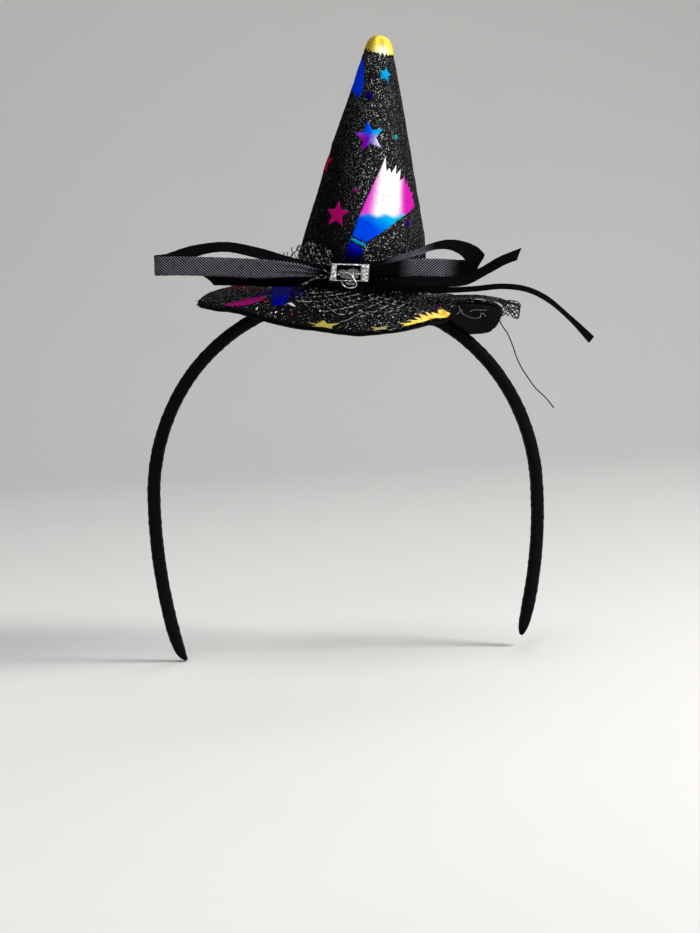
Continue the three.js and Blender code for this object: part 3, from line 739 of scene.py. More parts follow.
def crown_radius(up):
    ups = [row[0] for row in CROWN_PROFILE]
    radii = [row[1] for row in CROWN_PROFILE]
    return CROWN_FOOT * np.interp(up, ups, radii)


def crown_slope(up):
    """Slope of the profile: how much the radius falls for each millimetre of rise."""
    step = 0.02
    return (crown_radius(up - step) - crown_radius(up + step)) / (2 * step * CROWN_HEIGHT)


def crown_seam(angle, up):
    """Overlap of the cloth's two edges up the back, as a rise of the surface."""
    past = np.mod(angle - math.radians(96), 2 * np.pi)
    edge = smooth_step(0, 0.02, past) * (1 - smooth_step(0.1, 0.75, past))
    return 0.9 * edge * (1 - smooth_step(0.88, 0.99, up))


def crown_point(angle, up, radius, out=0.0):
    """Point on the crown's outside, with its bow, dents and creases."""
    belly = np.sin(np.pi * np.clip(up, 0, 1))
    flat = stacked(np.cos(angle), np.sin(angle), up * CROWN_HEIGHT / 20)
    dent = CROWN_DENT * belly * np.cos(3 * angle + 6 * up)
    crease = 0.22 * value_noise(flat, 0.22, 3) + 0.09 * value_noise(flat, 0.07, 4)
    pinch = 0.3 * np.cos(7 * angle + 1) * smooth_step(0.9, 0.97, up) * (1 - smooth_step(0.985, 1, up))
    fade = np.clip(radius / 4, 0, 1)
    full = radius + dent * fade + (crease + crown_seam(angle, up)) * fade + pinch + out
    return stacked(CROWN_BOW * belly + full * np.cos(angle), full * np.sin(angle), CROWN_HEIGHT * up)


def on_crown(turn, height, out):
    """Point on the crown at a turn in degrees and a height, lifted off the cloth along its slope."""
    up = np.asarray(height, float) / CROWN_HEIGHT
    slope = crown_slope(up)
    lift = out / np.sqrt(1 + slope**2)
    point = crown_point(np.radians(turn), up, crown_radius(up), lift)
    point[..., 2] += lift * slope
    return point


def rim(index, angle):
    """One column of the rim at angles about the crown, on a smooth closed curve through its rows."""
    turn = np.mod(np.degrees(angle) + 180, 360) - 180
    rows = np.array(BRIM_RIM, float)
    turns = np.concatenate([rows[-1:, 0] - 360, rows[:, 0], rows[:2, 0] + 360])
    values = np.concatenate([rows[-1:, index], rows[:, index], rows[:2, index]])
    start = np.clip(np.searchsorted(turns, turn, side="right") - 1, 1, len(rows))
    span = turns[start + 1] - turns[start]
    leave = (values[start + 1] - values[start - 1]) / (turns[start + 1] - turns[start - 1]) * span
    arrive = (values[start + 2] - values[start]) / (turns[start + 2] - turns[start]) * span
    share = (turn - turns[start]) / span
    rest = 1 - share
    straight = values[start] * rest**2 * (1 + 2 * share) + values[start + 1] * share**2 * (1 + 2 * rest)
    return straight + leave * share * rest**2 - arrive * share**2 * rest


def rim_reach(angle):
    """Reach of the rim, with a blunt corner at its left end."""
    corner = np.exp(-np.abs(np.mod(np.degrees(angle), 360) - CORNER_TURN) / CORNER_WIDTH)
    return BRIM_RADIUS * rim(1, angle) + CORNER_REACH * corner


def brim_top(radius, angle):
    """Height of the brim's upper face."""
    out = np.clip((radius - CROWN_FOOT) / (rim_reach(angle) - CROWN_FOOT), 0, 1)
    return -CLEARANCE - BRIM_DROOP * rim(2, angle) * out**1.25


def brim_wave(x, y):
    """Small waves of the cloth, which grow towards the rim."""
    radius = np.hypot(x, y)
    flat = stacked(x, y, 0)
    grow = smooth_step(CROWN_FOOT - 4, BRIM_RADIUS, radius)
    return grow * (0.45 * value_noise(flat, 13, 11) + 0.16 * value_noise(flat, 4.5, 12))


def on_brim(x, y, out):
    x, y = np.asarray(x, float), np.asarray(y, float)
    z = brim_top(np.hypot(x, y), np.arctan2(y, x)) + brim_wave(x, y) + out
    return stacked(x, y, z)


def crown():
    """The crown's cloth: its outside, the lip at its foot and its inside."""
    around = np.linspace(0, 2 * np.pi, 200, endpoint=False)
    share = np.linspace(0, 1, 230)
    up = column(CROWN_PROFILE, 0, share)[:, None]
    radius = CROWN_FOOT * column(CROWN_PROFILE, 1, share)[:, None]
    outside = crown_point(around[None], up, radius)
    inner_share = np.linspace(0, 0.97, 60)
    inner_up = column(CROWN_PROFILE, 0, inner_share)[:, None]
    inner_radius = (CROWN_FOOT - CROWN_WALL) * column(CROWN_PROFILE, 1, inner_share)[:, None]
    inside = crown_point(around[None], inner_up, inner_radius)
    inside[..., 2] *= 1 - 2.5 * CROWN_WALL / CROWN_HEIGHT
    lip = (outside[0] + inside[0]) / 2 - np.array([0, 0, 0.2])
    body = skin(np.concatenate([outside[:0:-1], outside[:1], lip[None], inside]))
    add_piece("hat_crown", body, CLOTH, ("crown",))


def brim_disc(name, replaces, material, depth, wall, seed):
    """A disc of cloth with a rough cut rim, its two faces joined round the edge."""
    around = np.linspace(-np.pi, np.pi, 360, endpoint=False)
    circle = stacked(np.cos(around), np.sin(around), 0) * 20
    cut = 0.35 * value_noise(circle, 2.4, seed) + 0.14 * value_noise(circle, 0.7, seed + 1)
    reach = rim_reach(around) - 0.3 + cut
    shares = np.sin(np.linspace(0, np.pi / 2, 64)[1:])[:, None]

    def face(below, edge):
        radius = reach * shares
        x, y = radius * np.cos(around), radius * np.sin(around)
        top = on_brim(x, y, -below)
        top[..., 2] += smooth_step(0.984, 1, shares) * edge
        return top

    upper = face(depth, -0.3 * wall)
    lower = face(depth + wall, 0.3 * wall)
    add_piece(name, skin(np.concatenate([upper, lower[::-1]])), material, replaces)


def inside_polygon(points, outline):
    """Which points lie inside a closed outline."""
    x, y = points[:, 0:1], points[:, 1:2]
    x0, y0 = outline[:, 0], outline[:, 1]
    x1, y1 = np.roll(x0, -1), np.roll(y0, -1)
    rise = np.where(y1 == y0, 1e-9, y1 - y0)
    crosses = ((y0 > y) != (y1 > y)) & (x < (x1 - x0) * (y - y0) / rise + x0)
    return crosses.sum(1) % 2 == 1


# Printed films: thickness, and how far their tops stand off the cloth
FILM_THICKNESS = 0.07
FILM_LIFT = 0.14


def film(outline, place, paint, spacing, lift=FILM_LIFT):
    """A thin film in the outline, laid by place(x, y, out) and coloured by a colour or paint(x, y)."""
    outline = np.array(outline, float)
    edge = []
    for start, end in zip(outline, np.roll(outline, -1, axis=0)):
        pieces = max(1, round(float(np.linalg.norm(end - start)) / spacing))
        edge += [start + (end - start) * k / pieces for k in range(pieces)]
    edge = np.array(edge)
    low, high = edge.min(0), edge.max(0)
    xs, ys = np.meshgrid(np.arange(low[0], high[0], spacing), np.arange(low[1], high[1], spacing))
    inner = stacked(xs.ravel(), ys.ravel())
    inner = inner[inside_polygon(inner, edge)]
    if len(inner):
        far = np.linalg.norm(inner[:, None] - edge[None], axis=-1).min(1) > 0.45 * spacing
        inner = inner[far]
    flat = np.vstack([edge, inner]) if len(inner) else edge
    corners, _, faces, *_ = delaunay_2d_cdt([Vector(p) for p in flat], [], [list(range(len(edge)))], 1, 1e-5)
    flat = np.array([tuple(corner) for corner in corners])
    count = len(flat)
    top = place(flat[:, 0], flat[:, 1], lift)
    base = place(flat[:, 0], flat[:, 1], lift - FILM_THICKNESS)
    uses = dict.fromkeys((a, b) for face in faces for a, b in zip(face, face[1:] + face[:1]))
    walls = [(b, a, a + count, b + count) for a, b in uses if (b, a) not in uses]
    under = [tuple(corner + count for corner in reversed(face)) for face in faces]
    colours = np.array([paint(x, y) if callable(paint) else paint for x, y in flat])
    return np.vstack([top, base]), [*map(tuple, faces), *under, *walls], np.vstack([colours, colours])


def add_print(name, films):
    """One piece from many films of print."""
    body = joined([(points, faces) for points, faces, _ in films])
    add_piece(name, body, FOIL, colour=np.vstack([colours for *_, colours in films]))


def star(x, y, radius, turn, points=5, waist=0.45):
    """Outline of a star; turn is the direction of its first tip in degrees."""
    corners = []
    for k in range(2 * points):
        angle = math.radians(turn + 180 * k / points)
        reach = radius if k % 2 == 0 else radius * waist
        corners.append((x + reach * math.cos(angle), y + reach * math.sin(angle)))
    return corners


def blend(a, b, share):
    """Colour at a share of the way from a to b."""
    share = min(max(share, 0), 1)
    return tuple(p + (q - p) * share for p, q in zip(a, b))


def blend_rows(a, b, shares):
    """Rows of colours at shares of the way from a to b."""
    return a * (1 - shares[:, None]) + np.array(b) * shares[:, None]


BLUE = (0.0, 0.06, 0.8)
DEEP_BLUE = (0.0, 0.03, 0.6)
NAVY = (0.0, 0.0, 0.012)
CYAN = (0.0, 0.36, 0.7)
TEAL = (0.01, 0.24, 0.22)
VIOLET = (0.12, 0.0, 0.45)
MAGENTA = (0.62, 0.01, 0.45)
CRIMSON = (0.4, 0.003, 0.13)
PALE = (0.95, 0.95, 1.0)
GOLD = (0.78, 0.58, 0.06)


def star_paint(x, y):
    """Gradient of the large star: blue above, cyan right, pale below right and violet to magenta left."""
    upper = blend(BLUE, CYAN, (x - 0.2) / 2.2)
    lower = blend(VIOLET, blend(VIOLET, (0.5, 0.46, 0.8), 0.1 + x / 4 - y / 8), (x + 0.6) / 3)
    lower = blend(lower, MAGENTA, 0.2 - (x + 1.5) / 5)
    return blend(lower, upper, 0.5 + (y - 0.6) / 2.2)


def broom_paint(x, y):
    """Pale middle, a painted highlight of the key light on the foil, with magenta sides above, cyan and blue
    below; x and y from the broom's middle.
    """
    band = -6 + 0.5 * math.sin(0.9 * x)
    side = blend((0.8, 0.04, 0.6), (0.55, 0.01, 0.36), (x - 6) / 4)
    # Painted highlight: the bristles turn pale towards the broom's middle.
    painted_glare = math.exp(-(((x - 2.6 - 0.12 * y) / 5.6) ** 4) - ((y - 4) / 15) ** 6)
    bristle = blend(side, PALE, 1.25 * painted_glare)
    low = blend(BLUE, (0.0, 0.24, 0.85), 0.4 + (x - 1) / 7)
    base = blend(low, (0.0, 0.45, 0.75), 0.75 + (y - band) / 8 + x / 16)
    return blend(bristle, base, (band - y + 0.7) / 1.4)


def handle_paint(x, y):
    """Blue that sinks into the dark towards the foot."""
    blotch = 0.25 * float(value_noise(np.array([x, y, 0.0]), 2.5, 52))
    return blend(NAVY, (0.0, 0.006, 0.45), (y + 0.4) / 4.5 + blotch)


def gold_paint(x, y):
    """Gold with paler and browner blotches."""
    spot = float(value_noise(np.array([x, y, 0.0]), 1.8, 51))
    return blend((0.6, 0.33, 0.01), (1.0, 0.8, 0.18), 0.55 + 0.6 * spot)


# Broom-like print in degrees of turn and millimetres of height, chosen round its outline
BROOM_MIDDLE = (-75, 38)
BROOM = [
    (-71.2, 55.6), (-75, 52.6), (-81, 48), (-87.5, 43), (-94.6, 35.8), (-100, 29.5), (-102.9, 23),
    (-96, 21.8), (-89, 20.6), (-83.4, 22.3), (-70.6, 26.1), (-52.7, 31), (-40, 33.2), (-28.1, 35.1),
    (-30.5, 36.6), (-28.8, 37.8), (-33, 38.6), (-29.5, 40.8), (-35.8, 40.9), (-34, 43.4), (-38.9, 42.6),
    (-37, 45.6), (-42.5, 43.9), (-42, 47.6), (-51.9, 45.6), (-48, 50.6), (-57.2, 48.2), (-55.5, 52.2),
    (-63.4, 48.8), (-65.6, 51), (-69.8, 49.6),
]
BROOM_TIE = [(-103.2, 22.3), (-96, 21.1), (-88.6, 19.9), (-89.4, 18.9), (-96.5, 20), (-103.8, 21.3)]
BROOM_HANDLE = [(-104.4, 20.5), (-97, 19.2), (-90.8, 18), (-93.5, 13), (-99, 9), (-106.5, 9.5), (-106.5, 16)]
UPPER_WEDGE = [
    (-163, 93.6), (-145, 92), (-134, 88.5), (-127, 85.2), (-124, 82.6), (-131, 82.6), (-120.5, 80.4),
    (-127, 80), (-131, 77.4), (-137, 79.4), (-143, 77.4), (-150, 79.6), (-162, 79), (-176, 80.5),
    (-186, 84), (-182, 90), (-172, 92.5),
]


# Stars and dots on the crown: turn, height, radius, first tip's turn, points, waist, grid and paint
CROWN_STARS = [
    (-66.4, 87.9, 3.1, 74, 5, 0.5, 0.8, (0.004, 0.27, 0.55)),
    (-106, 79, 2, 100, 4, 0.6, 0.6, (0.0, 0.0, 0.12)),
    (-96.8, 63, 6.4, 104, 5, 0.45, 0.8, star_paint),
    (-52, 63.3, 1.05, 0, 8, 0.92, 0.5, TEAL),
    (-171, 49.5, 5.4, 95, 5, 0.45, 0.8, (0.3, 0.003, 0.03)),
    (-123.4, 30.6, 5.6, 94, 5, 0.45, 0.8, CRIMSON),
    (-107, 41.3, 0.95, 20, 6, 0.7, 0.5, (0.3, 0.005, 0.16)),
    (-44, 28.5, 1.3, 0, 9, 0.9, 0.6, (0.03, 0.0, 0.13)),
]
# Other print on the crown: outline, its middle and paint
CROWN_SHAPES = [
    (UPPER_WEDGE, (-140, 84), DEEP_BLUE), (BROOM, BROOM_MIDDLE, broom_paint),
    (BROOM_TIE, (-96, 20.6), (0.0, 0.25, 0.55)), (BROOM_HANDLE, (-98, 15), handle_paint),
]
# Scatter of stars on the back: turn, height, radius and colour
BACK_STARS = [
    (38, 66, 4.6, MAGENTA), (12, 30, 5.6, CYAN), (62, 38, 5, GOLD), (135, 62, 4.4, BLUE),
    (150, 28, 5.8, TEAL), (118, 14, 3.6, CRIMSON), (20, 84, 2.6, GOLD), (75, 82, 2.4, CYAN),
    (14, 12, 3.4, VIOLET), (156, 76, 2.2, MAGENTA), (40, 12, 3.4, BLUE),
]


def crown_foil():
    """Stars, dots, a wedge and the broom on the crown, as one piece of printed film."""
    films = []

    def lay(outline, turn, height, paint, spacing=0.8):
        radius = float(crown_radius(height / CROWN_HEIGHT))

        def place(x, y, out):
            return on_crown(turn + np.degrees(x / radius), height + y, out)

        films.append(film(outline, place, paint, spacing))

    for turn, height, size, tip, points, waist, spacing, paint in CROWN_STARS:
        lay(star(0, 0, size, tip, points, waist), turn, height, paint, spacing)
    for outline, (turn, height), paint in CROWN_SHAPES:
        radius = float(crown_radius(height / CROWN_HEIGHT))
        lay([(math.radians(t - turn) * radius, h - height) for t, h in outline], turn, height, paint)
    for turn, height, size, colour in BACK_STARS:
        lay(star(0, 0, size, 90 + turn), turn, height, colour)
    add_print("crown_foil", films)


def tip_cap():
    """Gold foil over the crown's tip, with a zigzag lower edge, painted paler just right of the front as a
    painted highlight and dark brown at the left as painted shade.
    """
    around = np.linspace(-np.pi, np.pi, 264, endpoint=False)
    tooth = np.abs(np.mod(around / (2 * np.pi) * 22, 1) - 0.5) * 2
    uneven = 0.6 + 0.4 * np.sin(5 * around + 1)
    low = (96.7 - 0.9 * np.cos(around) + 0.4 * np.sin(around) - 1.5 * (tooth - 0.5) * uneven) / CROWN_HEIGHT
    shares = np.linspace(0, 1, 30)[:, None]
    up = low + (1 - low) * np.sin(shares * np.pi / 2)
    outer = crown_point(around[None], up, crown_radius(up), 0.16)
    inner = crown_point(around[None], up, crown_radius(up), 0.06)
    outer[..., 2] += 0.16 * shares
    inner[..., 2] += 0.06 * shares
    body = skin(np.concatenate([outer[::-1], inner]))
    points = body[0]
    # Painted highlight just right of the front, fading towards the top, and painted shade at the left side.
    turn = np.degrees(np.arctan2(points[:, 1], points[:, 0] - CROWN_BOW * 0.1))
    painted_highlight = np.exp(-(((turn + 72) / 26) ** 2)) * (1 - smooth_step(97, 101, points[:, 2]))
    shade = 0.75 * np.exp(-(((np.mod(turn + 330, 360) - 180) / 30) ** 2))
    colours = blend_rows(np.array(GOLD), (1.0, 0.97, 0.75), painted_highlight)
    colours = blend_rows(colours, (0.16, 0.09, 0.01), shade)
    add_piece("tip_foil", body, FOIL, colour=colours)


def jagged(start, end, width, teeth, rough):
    """Outline of a brushed stroke between two points, with a ragged side."""
    start, end = np.array(start, float), np.array(end, float)
    along = end - start
    side = np.array([-along[1], along[0]]) / np.linalg.norm(along)
    upper = []
    for k in range(2 * teeth + 1):
        share = k / (2 * teeth)
        swell = width * math.sin(math.pi * (0.12 + 0.8 * share)) * (1 if k % 2 else 1 - rough)
        upper.append(tuple(start + along * share + side * swell))
    return [tuple(start), tuple(end), *reversed(upper)]


# Print on the front of the brim, in millimetres about the crown's middle
STREAK = [
    (-55.6, -30.4), (-53.2, -38), (-48.4, -40), (-44.4, -39), (-41, -36), (-37.6, -31), (-41.4, -26.6),
    (-44, -29.4), (-46, -25.8), (-49, -29), (-52.4, -28),
]
WISP = [(-44.1, -26.3), (-41.3, -28.2), (-39.2, -27.9), (-37, -24), (-36.2, -20.1), (-40.2, -22)]
BLOCK = [
    (-36.6, -14), (-36.6, -20.8), (-35.9, -33), (-35.2, -44.2), (-33.7, -42.1), (-30.8, -43.3),
    (-29.8, -38.9), (-28.9, -40.1), (-29.2, -34.1), (-27.5, -24.5), (-27.5, -17),
]
FAINT = [(-27.9, -22), (-23.8, -24), (-20, -29), (-22.5, -31), (-21.6, -34), (-24.3, -35.6), (-28, -34.2)]
LEFT_STAR = [
    (-20.6, -59.8), (-16.8, -61.6), (-13.9, -58), (-12.4, -61.2), (-7.2, -59.4), (-10.4, -62.9),
    (-10.6, -65.8), (-14.3, -64.2), (-18.4, -64.8), (-16.6, -63),
]
FRONT_STAR = [
    (4.8, -62.3), (8.2, -63.6), (12.2, -62), (10.6, -64.2), (11.6, -65.7), (8.2, -65.2), (5.6, -65.9),
    (6.8, -64.4),
]
FEATHER = [
    (36.7, -49.3), (34.7, -46.4), (32.7, -42.8), (31.7, -44), (32.1, -48.4), (29, -47.9), (29.7, -53.2),
    (26.5, -49.4), (27.7, -55.4), (23.7, -51.2), (25.3, -57.4), (22.1, -55), (23.7, -59.1), (19.8, -57.4),
    (21.4, -60.6), (15.8, -60), (18.6, -61.9), (17.6, -63), (21.5, -62.4), (25, -61), (28.5, -59.1),
    (32.5, -56), (35.9, -51.3),
]
FEATHER_TIP = [(29.6, -39.4), (31.2, -41.6), (32.9, -40.6), (33.4, -43.4), (32, -43.4), (30.6, -42.6)]
CHIP = [(-29.2, -41.6), (-27.6, -41.2), (-25.6, -45.2), (-27, -44.8), (-28.4, -43.2)]


# Print on the brim: outline, paint, grid and lift
BRIM_SHAPES = [
    (STREAK, (0.2, 0.003, 0.085), 0.7, FILM_LIFT),
    (WISP, (0.012, 0.0, 0.09), 0.7, FILM_LIFT),
    (BLOCK, (0.0, 0.002, 0.17), 0.7, FILM_LIFT),
    (FAINT, (0.0, 0.001, 0.06), 0.7, FILM_LIFT),
    (LEFT_STAR, (0.32, 0.27, 0.05), 0.5, FILM_LIFT),
    (FRONT_STAR, (0.36, 0.31, 0.12), 0.5, FILM_LIFT),
    (FEATHER, gold_paint, 0.6, FILM_LIFT),
    (FEATHER_TIP, (0.4, 0.005, 0.2), 0.5, FILM_LIFT),
    (CHIP, (0.5, 0.5, 0.48), 0.6, 0.35),
    (jagged((-58, 8), (-46, -4), 3, 4, 0.7), (0.16, 0.003, 0.03), 0.7, FILM_LIFT),
    (jagged((-50, -10.5), (-40, -16.5), 1, 3, 0.6), (0.16, 0.002, 0.03), 0.5, FILM_LIFT),
]
# Dots: middle and radius. Stars: middle, radius, first tip's turn and colour
BRIM_DOTS = [(-38, -37, 0.9), (-38.8, -31.6, 0.7), (-52, 9, 0.8), (-33, -49, 0.7), (-27, -52, 0.6)]
BRIM_STARS = [
    (48, 22, 5.5, 20, CYAN), (34, 44, 6, 60, MAGENTA), (2, 52, 5.2, 10, GOLD), (-30, 48, 6, 40, BLUE),
    (-52, 30, 4.5, 0, TEAL), (50, -4, 4, 30, VIOLET), (-16, 38, 2.8, 80, CYAN), (18, 36, 3, 15, CRIMSON),
]


def brim_foil():
    """Strokes, a block, stars and a feather of print on the brim."""
    films = [film(outline, on_brim, paint, spacing, lift) for outline, paint, spacing, lift in BRIM_SHAPES]
    for x, y, size in BRIM_DOTS:
        films.append(film(star(x, y, size, 0, 7, 0.8), on_brim, (0.3, 0.005, 0.08), 0.4))
    for x, y, size, turn, colour in BRIM_STARS:
        films.append(film(star(x, y, size, turn), on_brim, colour, 0.7))
    add_print("brim_foil", films)


# Glitter: flakes on the crown and tried on the brim, the largest extra size on the crown, and how far
# each flake tilts, stands off the cloth and reaches into it
CROWN_FLAKES = 2800
BRIM_FLAKES = 7000
GRAIN = 0.13
FLAKE_TILT = 0.42
FLAKE_RISE = 0.1
FLAKE_ROOT = 0.3


def flakes(name, spots, normals, sizes):
    """Small three-cornered flakes half sunk in the cloth, each with its own tilt."""
    count = len(spots)
    tilt = unit(normals + FLAKE_TILT * rng.normal(size=(count, 3)))
    first = unit(np.cross(tilt, rng.normal(size=(count, 3))))
    second = np.cross(tilt, first)
    angle = ring_angles(3)
    ring = first[:, None] * np.cos(angle)[:, None] + second[:, None] * np.sin(angle)[:, None]
    top = spots[:, None] + tilt[:, None] * FLAKE_RISE + ring * sizes[:, None, None]
    root = spots - normals * FLAKE_ROOT
    points = np.concatenate([top, root[:, None]], axis=1).reshape(-1, 3)
    start = np.arange(count)[:, None] * 4
    local = np.array([[0, 1, 2], [0, 3, 1], [1, 3, 2], [2, 3, 0]])
    faces = (start[:, None] + local[None]).reshape(-1, 3).tolist()
    piece = add_piece(name, (points, faces), FLAKE)
    piece.data.shade_flat()


def crown_glitter():
    """Glitter on the crown, thinner towards its top."""
    count = CROWN_FLAKES
    up = 1 - np.sqrt(rng.uniform(0.005, 1, count))
    turn = rng.uniform(-180, 180, count)
    height = up * 0.96 * CROWN_HEIGHT + 1
    spots = on_crown(turn, height, 0)
    slope = crown_slope(height / CROWN_HEIGHT)
    angle = np.radians(turn)
    normals = unit(stacked(np.cos(angle), np.sin(angle), slope))
    flakes("crown_glitter", spots, normals, GRAIN * rng.uniform(0, 1, count) ** 3 + 0.05)


def brim_glitter():
    """Glitter on the brim, thinner at the left and coarser at the front."""
    count = BRIM_FLAKES
    angle = rng.uniform(-np.pi, np.pi, count)
    radius = np.sqrt(rng.uniform((CROWN_FOOT / BRIM_RADIUS) ** 2, 1, count)) * (rim_reach(angle) - 0.8)
    x, y = radius * np.cos(angle), radius * np.sin(angle)
    kept = rng.uniform(0, 1, count) < smooth_step(-64, -24, x) + 0.25
    x, y, count = x[kept], y[kept], int(kept.sum())
    spots = on_brim(x, y, 0)
    sizes = (0.25 * rng.uniform(0, 1, count) ** 5 + 0.09) * (1 + 0.6 * smooth_step(25, 45, -y))
    ahead = on_brim(x + 0.1, y, 0) - spots
    beside = on_brim(x, y + 0.1, 0) - spots
    flakes("brim_glitter", spots, unit(np.cross(ahead, beside)), sizes)


def side_arcs(last):
    """Radius and sweep of the band's arcs from its top to the tip at one side."""
    return [(arc["radius"], math.radians(arc["sweep"])) for arc in (BAND_TOP, BAND_SHOULDER, last)]


def band_centre(distance):
    """The band's middle at a distance along it from its top, negative to the left, and its turn there."""
    side = -1 if distance < 0 else 1
    rest, angle, x, z = abs(distance), 0, 0, BAND_THICKNESS / 2
    for radius, sweep in side_arcs(BAND_LEFT if side < 0 else BAND_RIGHT):
        turned = angle + min(rest / radius, sweep)
        x += radius * (math.sin(turned) - math.sin(angle))
        z -= radius * (math.cos(angle) - math.cos(turned))
        rest = max(0, rest - radius * sweep)
        angle = turned
    return side * x, z, side * angle


def band_gathers(distances, angle, low, high):
    """Height of the satin's small gathers, which lie across the band at random from low to high."""
    gathers = np.cumsum(rng.uniform(2.6, 5.4, 110)) + low
    fold = np.zeros((len(distances), len(angle)))
    for spot in gathers[gathers < high]:
        lean = rng.uniform(-1.1, 1.1)
        depth = rng.uniform(0.05, 0.2)
        away = distances[:, None] - spot - lean * np.cos(angle)[None]
        fold += depth * np.exp(-((away / 0.7) ** 2)) * (0.4 + 0.6 * np.sin(angle) ** 2)
    return fold


# Band's tips: share of the tip's length, then thickness, width and shift as shares
TIP_ROWS = np.array([(0, 0.26, 0.5, 0.3), (0.14, 0.6, 0.76, 0.14), (0.45, 0.86, 0.92, 0.05), (1, 1, 1, 0)])


def band():
    """The covered band: wound satin with small gathers, a seam inside and tucked tips."""
    left_length, right_length = (sum(radius * sweep for radius, sweep in side_arcs(last))
                                 for last in (BAND_LEFT, BAND_RIGHT))
    ends = np.array([0, 0.03, 0.1, 0.22, 0.4, 0.65]) * BAND_TIP * 0.5
    body = np.arange(-left_length + 5, right_length - 5, 0.75)
    distances = np.concatenate([-left_length + ends, body, right_length - ends[::-1]])
    distances = np.unique(np.round(distances, 4))
    place = np.array([band_centre(d) for d in distances])
    to_tip = np.minimum(distances + left_length, right_length - distances)
    share = np.clip(to_tip / BAND_TIP, 0, 1)
    thick, wide, shift = (np.interp(share, TIP_ROWS[:, 0], TIP_ROWS[:, k]) for k in (1, 2, 3))
    shift = np.where(distances < 0, -shift * BAND_THICKNESS, 0)
    angle = ring_angles(48, 0.5)
    fold = band_gathers(distances, angle, -left_length, right_length)
    seam = np.exp(-(((angle - 1.5 * np.pi) / 0.09) ** 2))
    flat = stacked(distances[:, None], 3 * np.cos(angle), 3 * np.sin(angle))
    rough = 0.07 * value_noise(flat, 1.6, 21)
    size = 1 + (fold + rough - 0.1 - 0.35 * seam) / (BAND_THICKNESS / 2)
    across = BAND_WIDTH / 2 * squared_off(np.cos(angle), 0.8) * wide[:, None] * size
    reach = BAND_THICKNESS / 2 * squared_off(np.sin(angle), 0.8) * thick[:, None] * size + shift[:, None]
    x = place[:, 0:1] + reach * np.sin(place[:, 2:3])
    z = place[:, 1:2] + reach * np.cos(place[:, 2:3])
    girth = np.abs(np.mod(angle + np.pi / 2, 2 * np.pi) - np.pi) * 3.6
    uv = stacked(distances[:, None], girth).reshape(-1, 2)
    uv = np.vstack([uv, [[-left_length, 0], [right_length, 0]]])
    add_piece("satin_band", skin(stacked(x, across, z)), SATIN, ("band",), in_hat=False, uv=uv)


KNOT_BACK = -float(crown_radius((KNOT_RISE - KNOT_SIZE[2] / 2) / CROWN_HEIGHT)) - CLEARANCE
KNOT_MIDDLE = KNOT_BACK - KNOT_SIZE[1] / 2
KNOT_FRONT = KNOT_BACK - KNOT_SIZE[1]

# Painted sheen on the strands, a painted highlight in their ridges' colour: whether in front, from x, to x,
# and its strength
PAINTED_SHEEN = {
    "bow_left_loop": [(True, -110, -20, 1.8)],
    "bow_right_loop": [(True, 14, 36, 2.6), (False, 8, 26, 1.6)],
}


def ribbon_tint(name, x, y):
    """Colour of a ribbon's ridges at a point: their own dim grey, with paler blue-grey painted sheen where a
    strand faces the light.
    """
    share = 0.07
    for front, low, high, strength in PAINTED_SHEEN.get(name, []):
        ahead = 1 - smooth_step(KNOT_MIDDLE - 1, KNOT_MIDDLE + 1, y)
        zone = smooth_step(low, low + 9, x) * (1 - smooth_step(high - 4, high + 4, x))
        share += float(strength * zone * (ahead if front else 1 - ahead))
    return 0.1 * share, 0.106 * share, 0.12 * share


def ribbon(name, side, size, route, slant):
    """A strip of twill along its route, pleated where it is drawn in at the knot."""
    start = KNOT_OFFSET + side * (KNOT_SIZE[0] / 2 + CLEARANCE + SOLID_RIBBON_THICKNESS / 2)
    reach, depth, rise = size
    stops = [(start + side * out * reach, KNOT_MIDDLE + back * depth, KNOT_RISE + up * rise)
             for out, back, up, *_ in route]
    rough_length = step_lengths(centripetal(stops, np.linspace(0, 1, 200))).sum()
    steps = int(rough_length / RIBBON_STEP)
    shares = np.linspace(0, 1, steps + 1)
    centre = centripetal(stops, shares)
    along = unit(np.gradient(centre, axis=0))
    travelled = np.concatenate([[0], np.cumsum(step_lengths(centre))])
    lean = -side * np.radians(column(route, 3, shares))
    upright = unit(np.array([0, 0, 1.0]) - along * along[:, 2:3])
    sideways = np.cross(along, upright)
    across = upright * np.cos(lean)[:, None] + sideways * np.sin(lean)[:, None]
    face = np.cross(along, across)
    width_share = column(route, 4, shares)
    half = RIBBON_WIDTH / 2 * width_share
    picot = 0.1 * np.abs(np.sin(np.pi * travelled / 0.9)) + 0.05 * np.sin(travelled * 1.7)
    w = np.linspace(-1, 1, 13)
    edge = np.abs(w) > 0.99
    thin = RIBBON_THICKNESS / 2 * np.where(edge, 0.45, 1)
    gather = np.clip(1 - width_share, 0, 1)
    pleat = 1.1 * gather[:, None] * np.cos(2.5 * np.pi * w + 0.6)
    pleat = pleat + 0.12 * np.sin(travelled / 6)[:, None] * w**2
    ahead = slant * smooth_step(1 - 6 / rough_length, 1, shares)[:, None] * w
    wide = half[:, None] * w + picot[:, None] * np.where(edge, np.sign(w), 0)
    flat = centre[:, None] + across[:, None] * wide[..., None] + along[:, None] * ahead[..., None]
    under, over = (flat + face[:, None] * (pleat + off)[..., None] for off in (-thin, thin))
    body = skin(np.concatenate([under, over[:, ::-1]], axis=1))
    v = np.concatenate([w, w[::-1]]) * half[:, None]
    uv = stacked(travelled[:, None], v).reshape(-1, 2)
    uv = np.vstack([uv, uv[:1], uv[-1:]])
    colours = np.array([ribbon_tint(name, x, y) for x, y, _ in body[0]])
    add_piece(name + "_ribbon", body, TWILL, (name,), uv=uv, colour=colours)


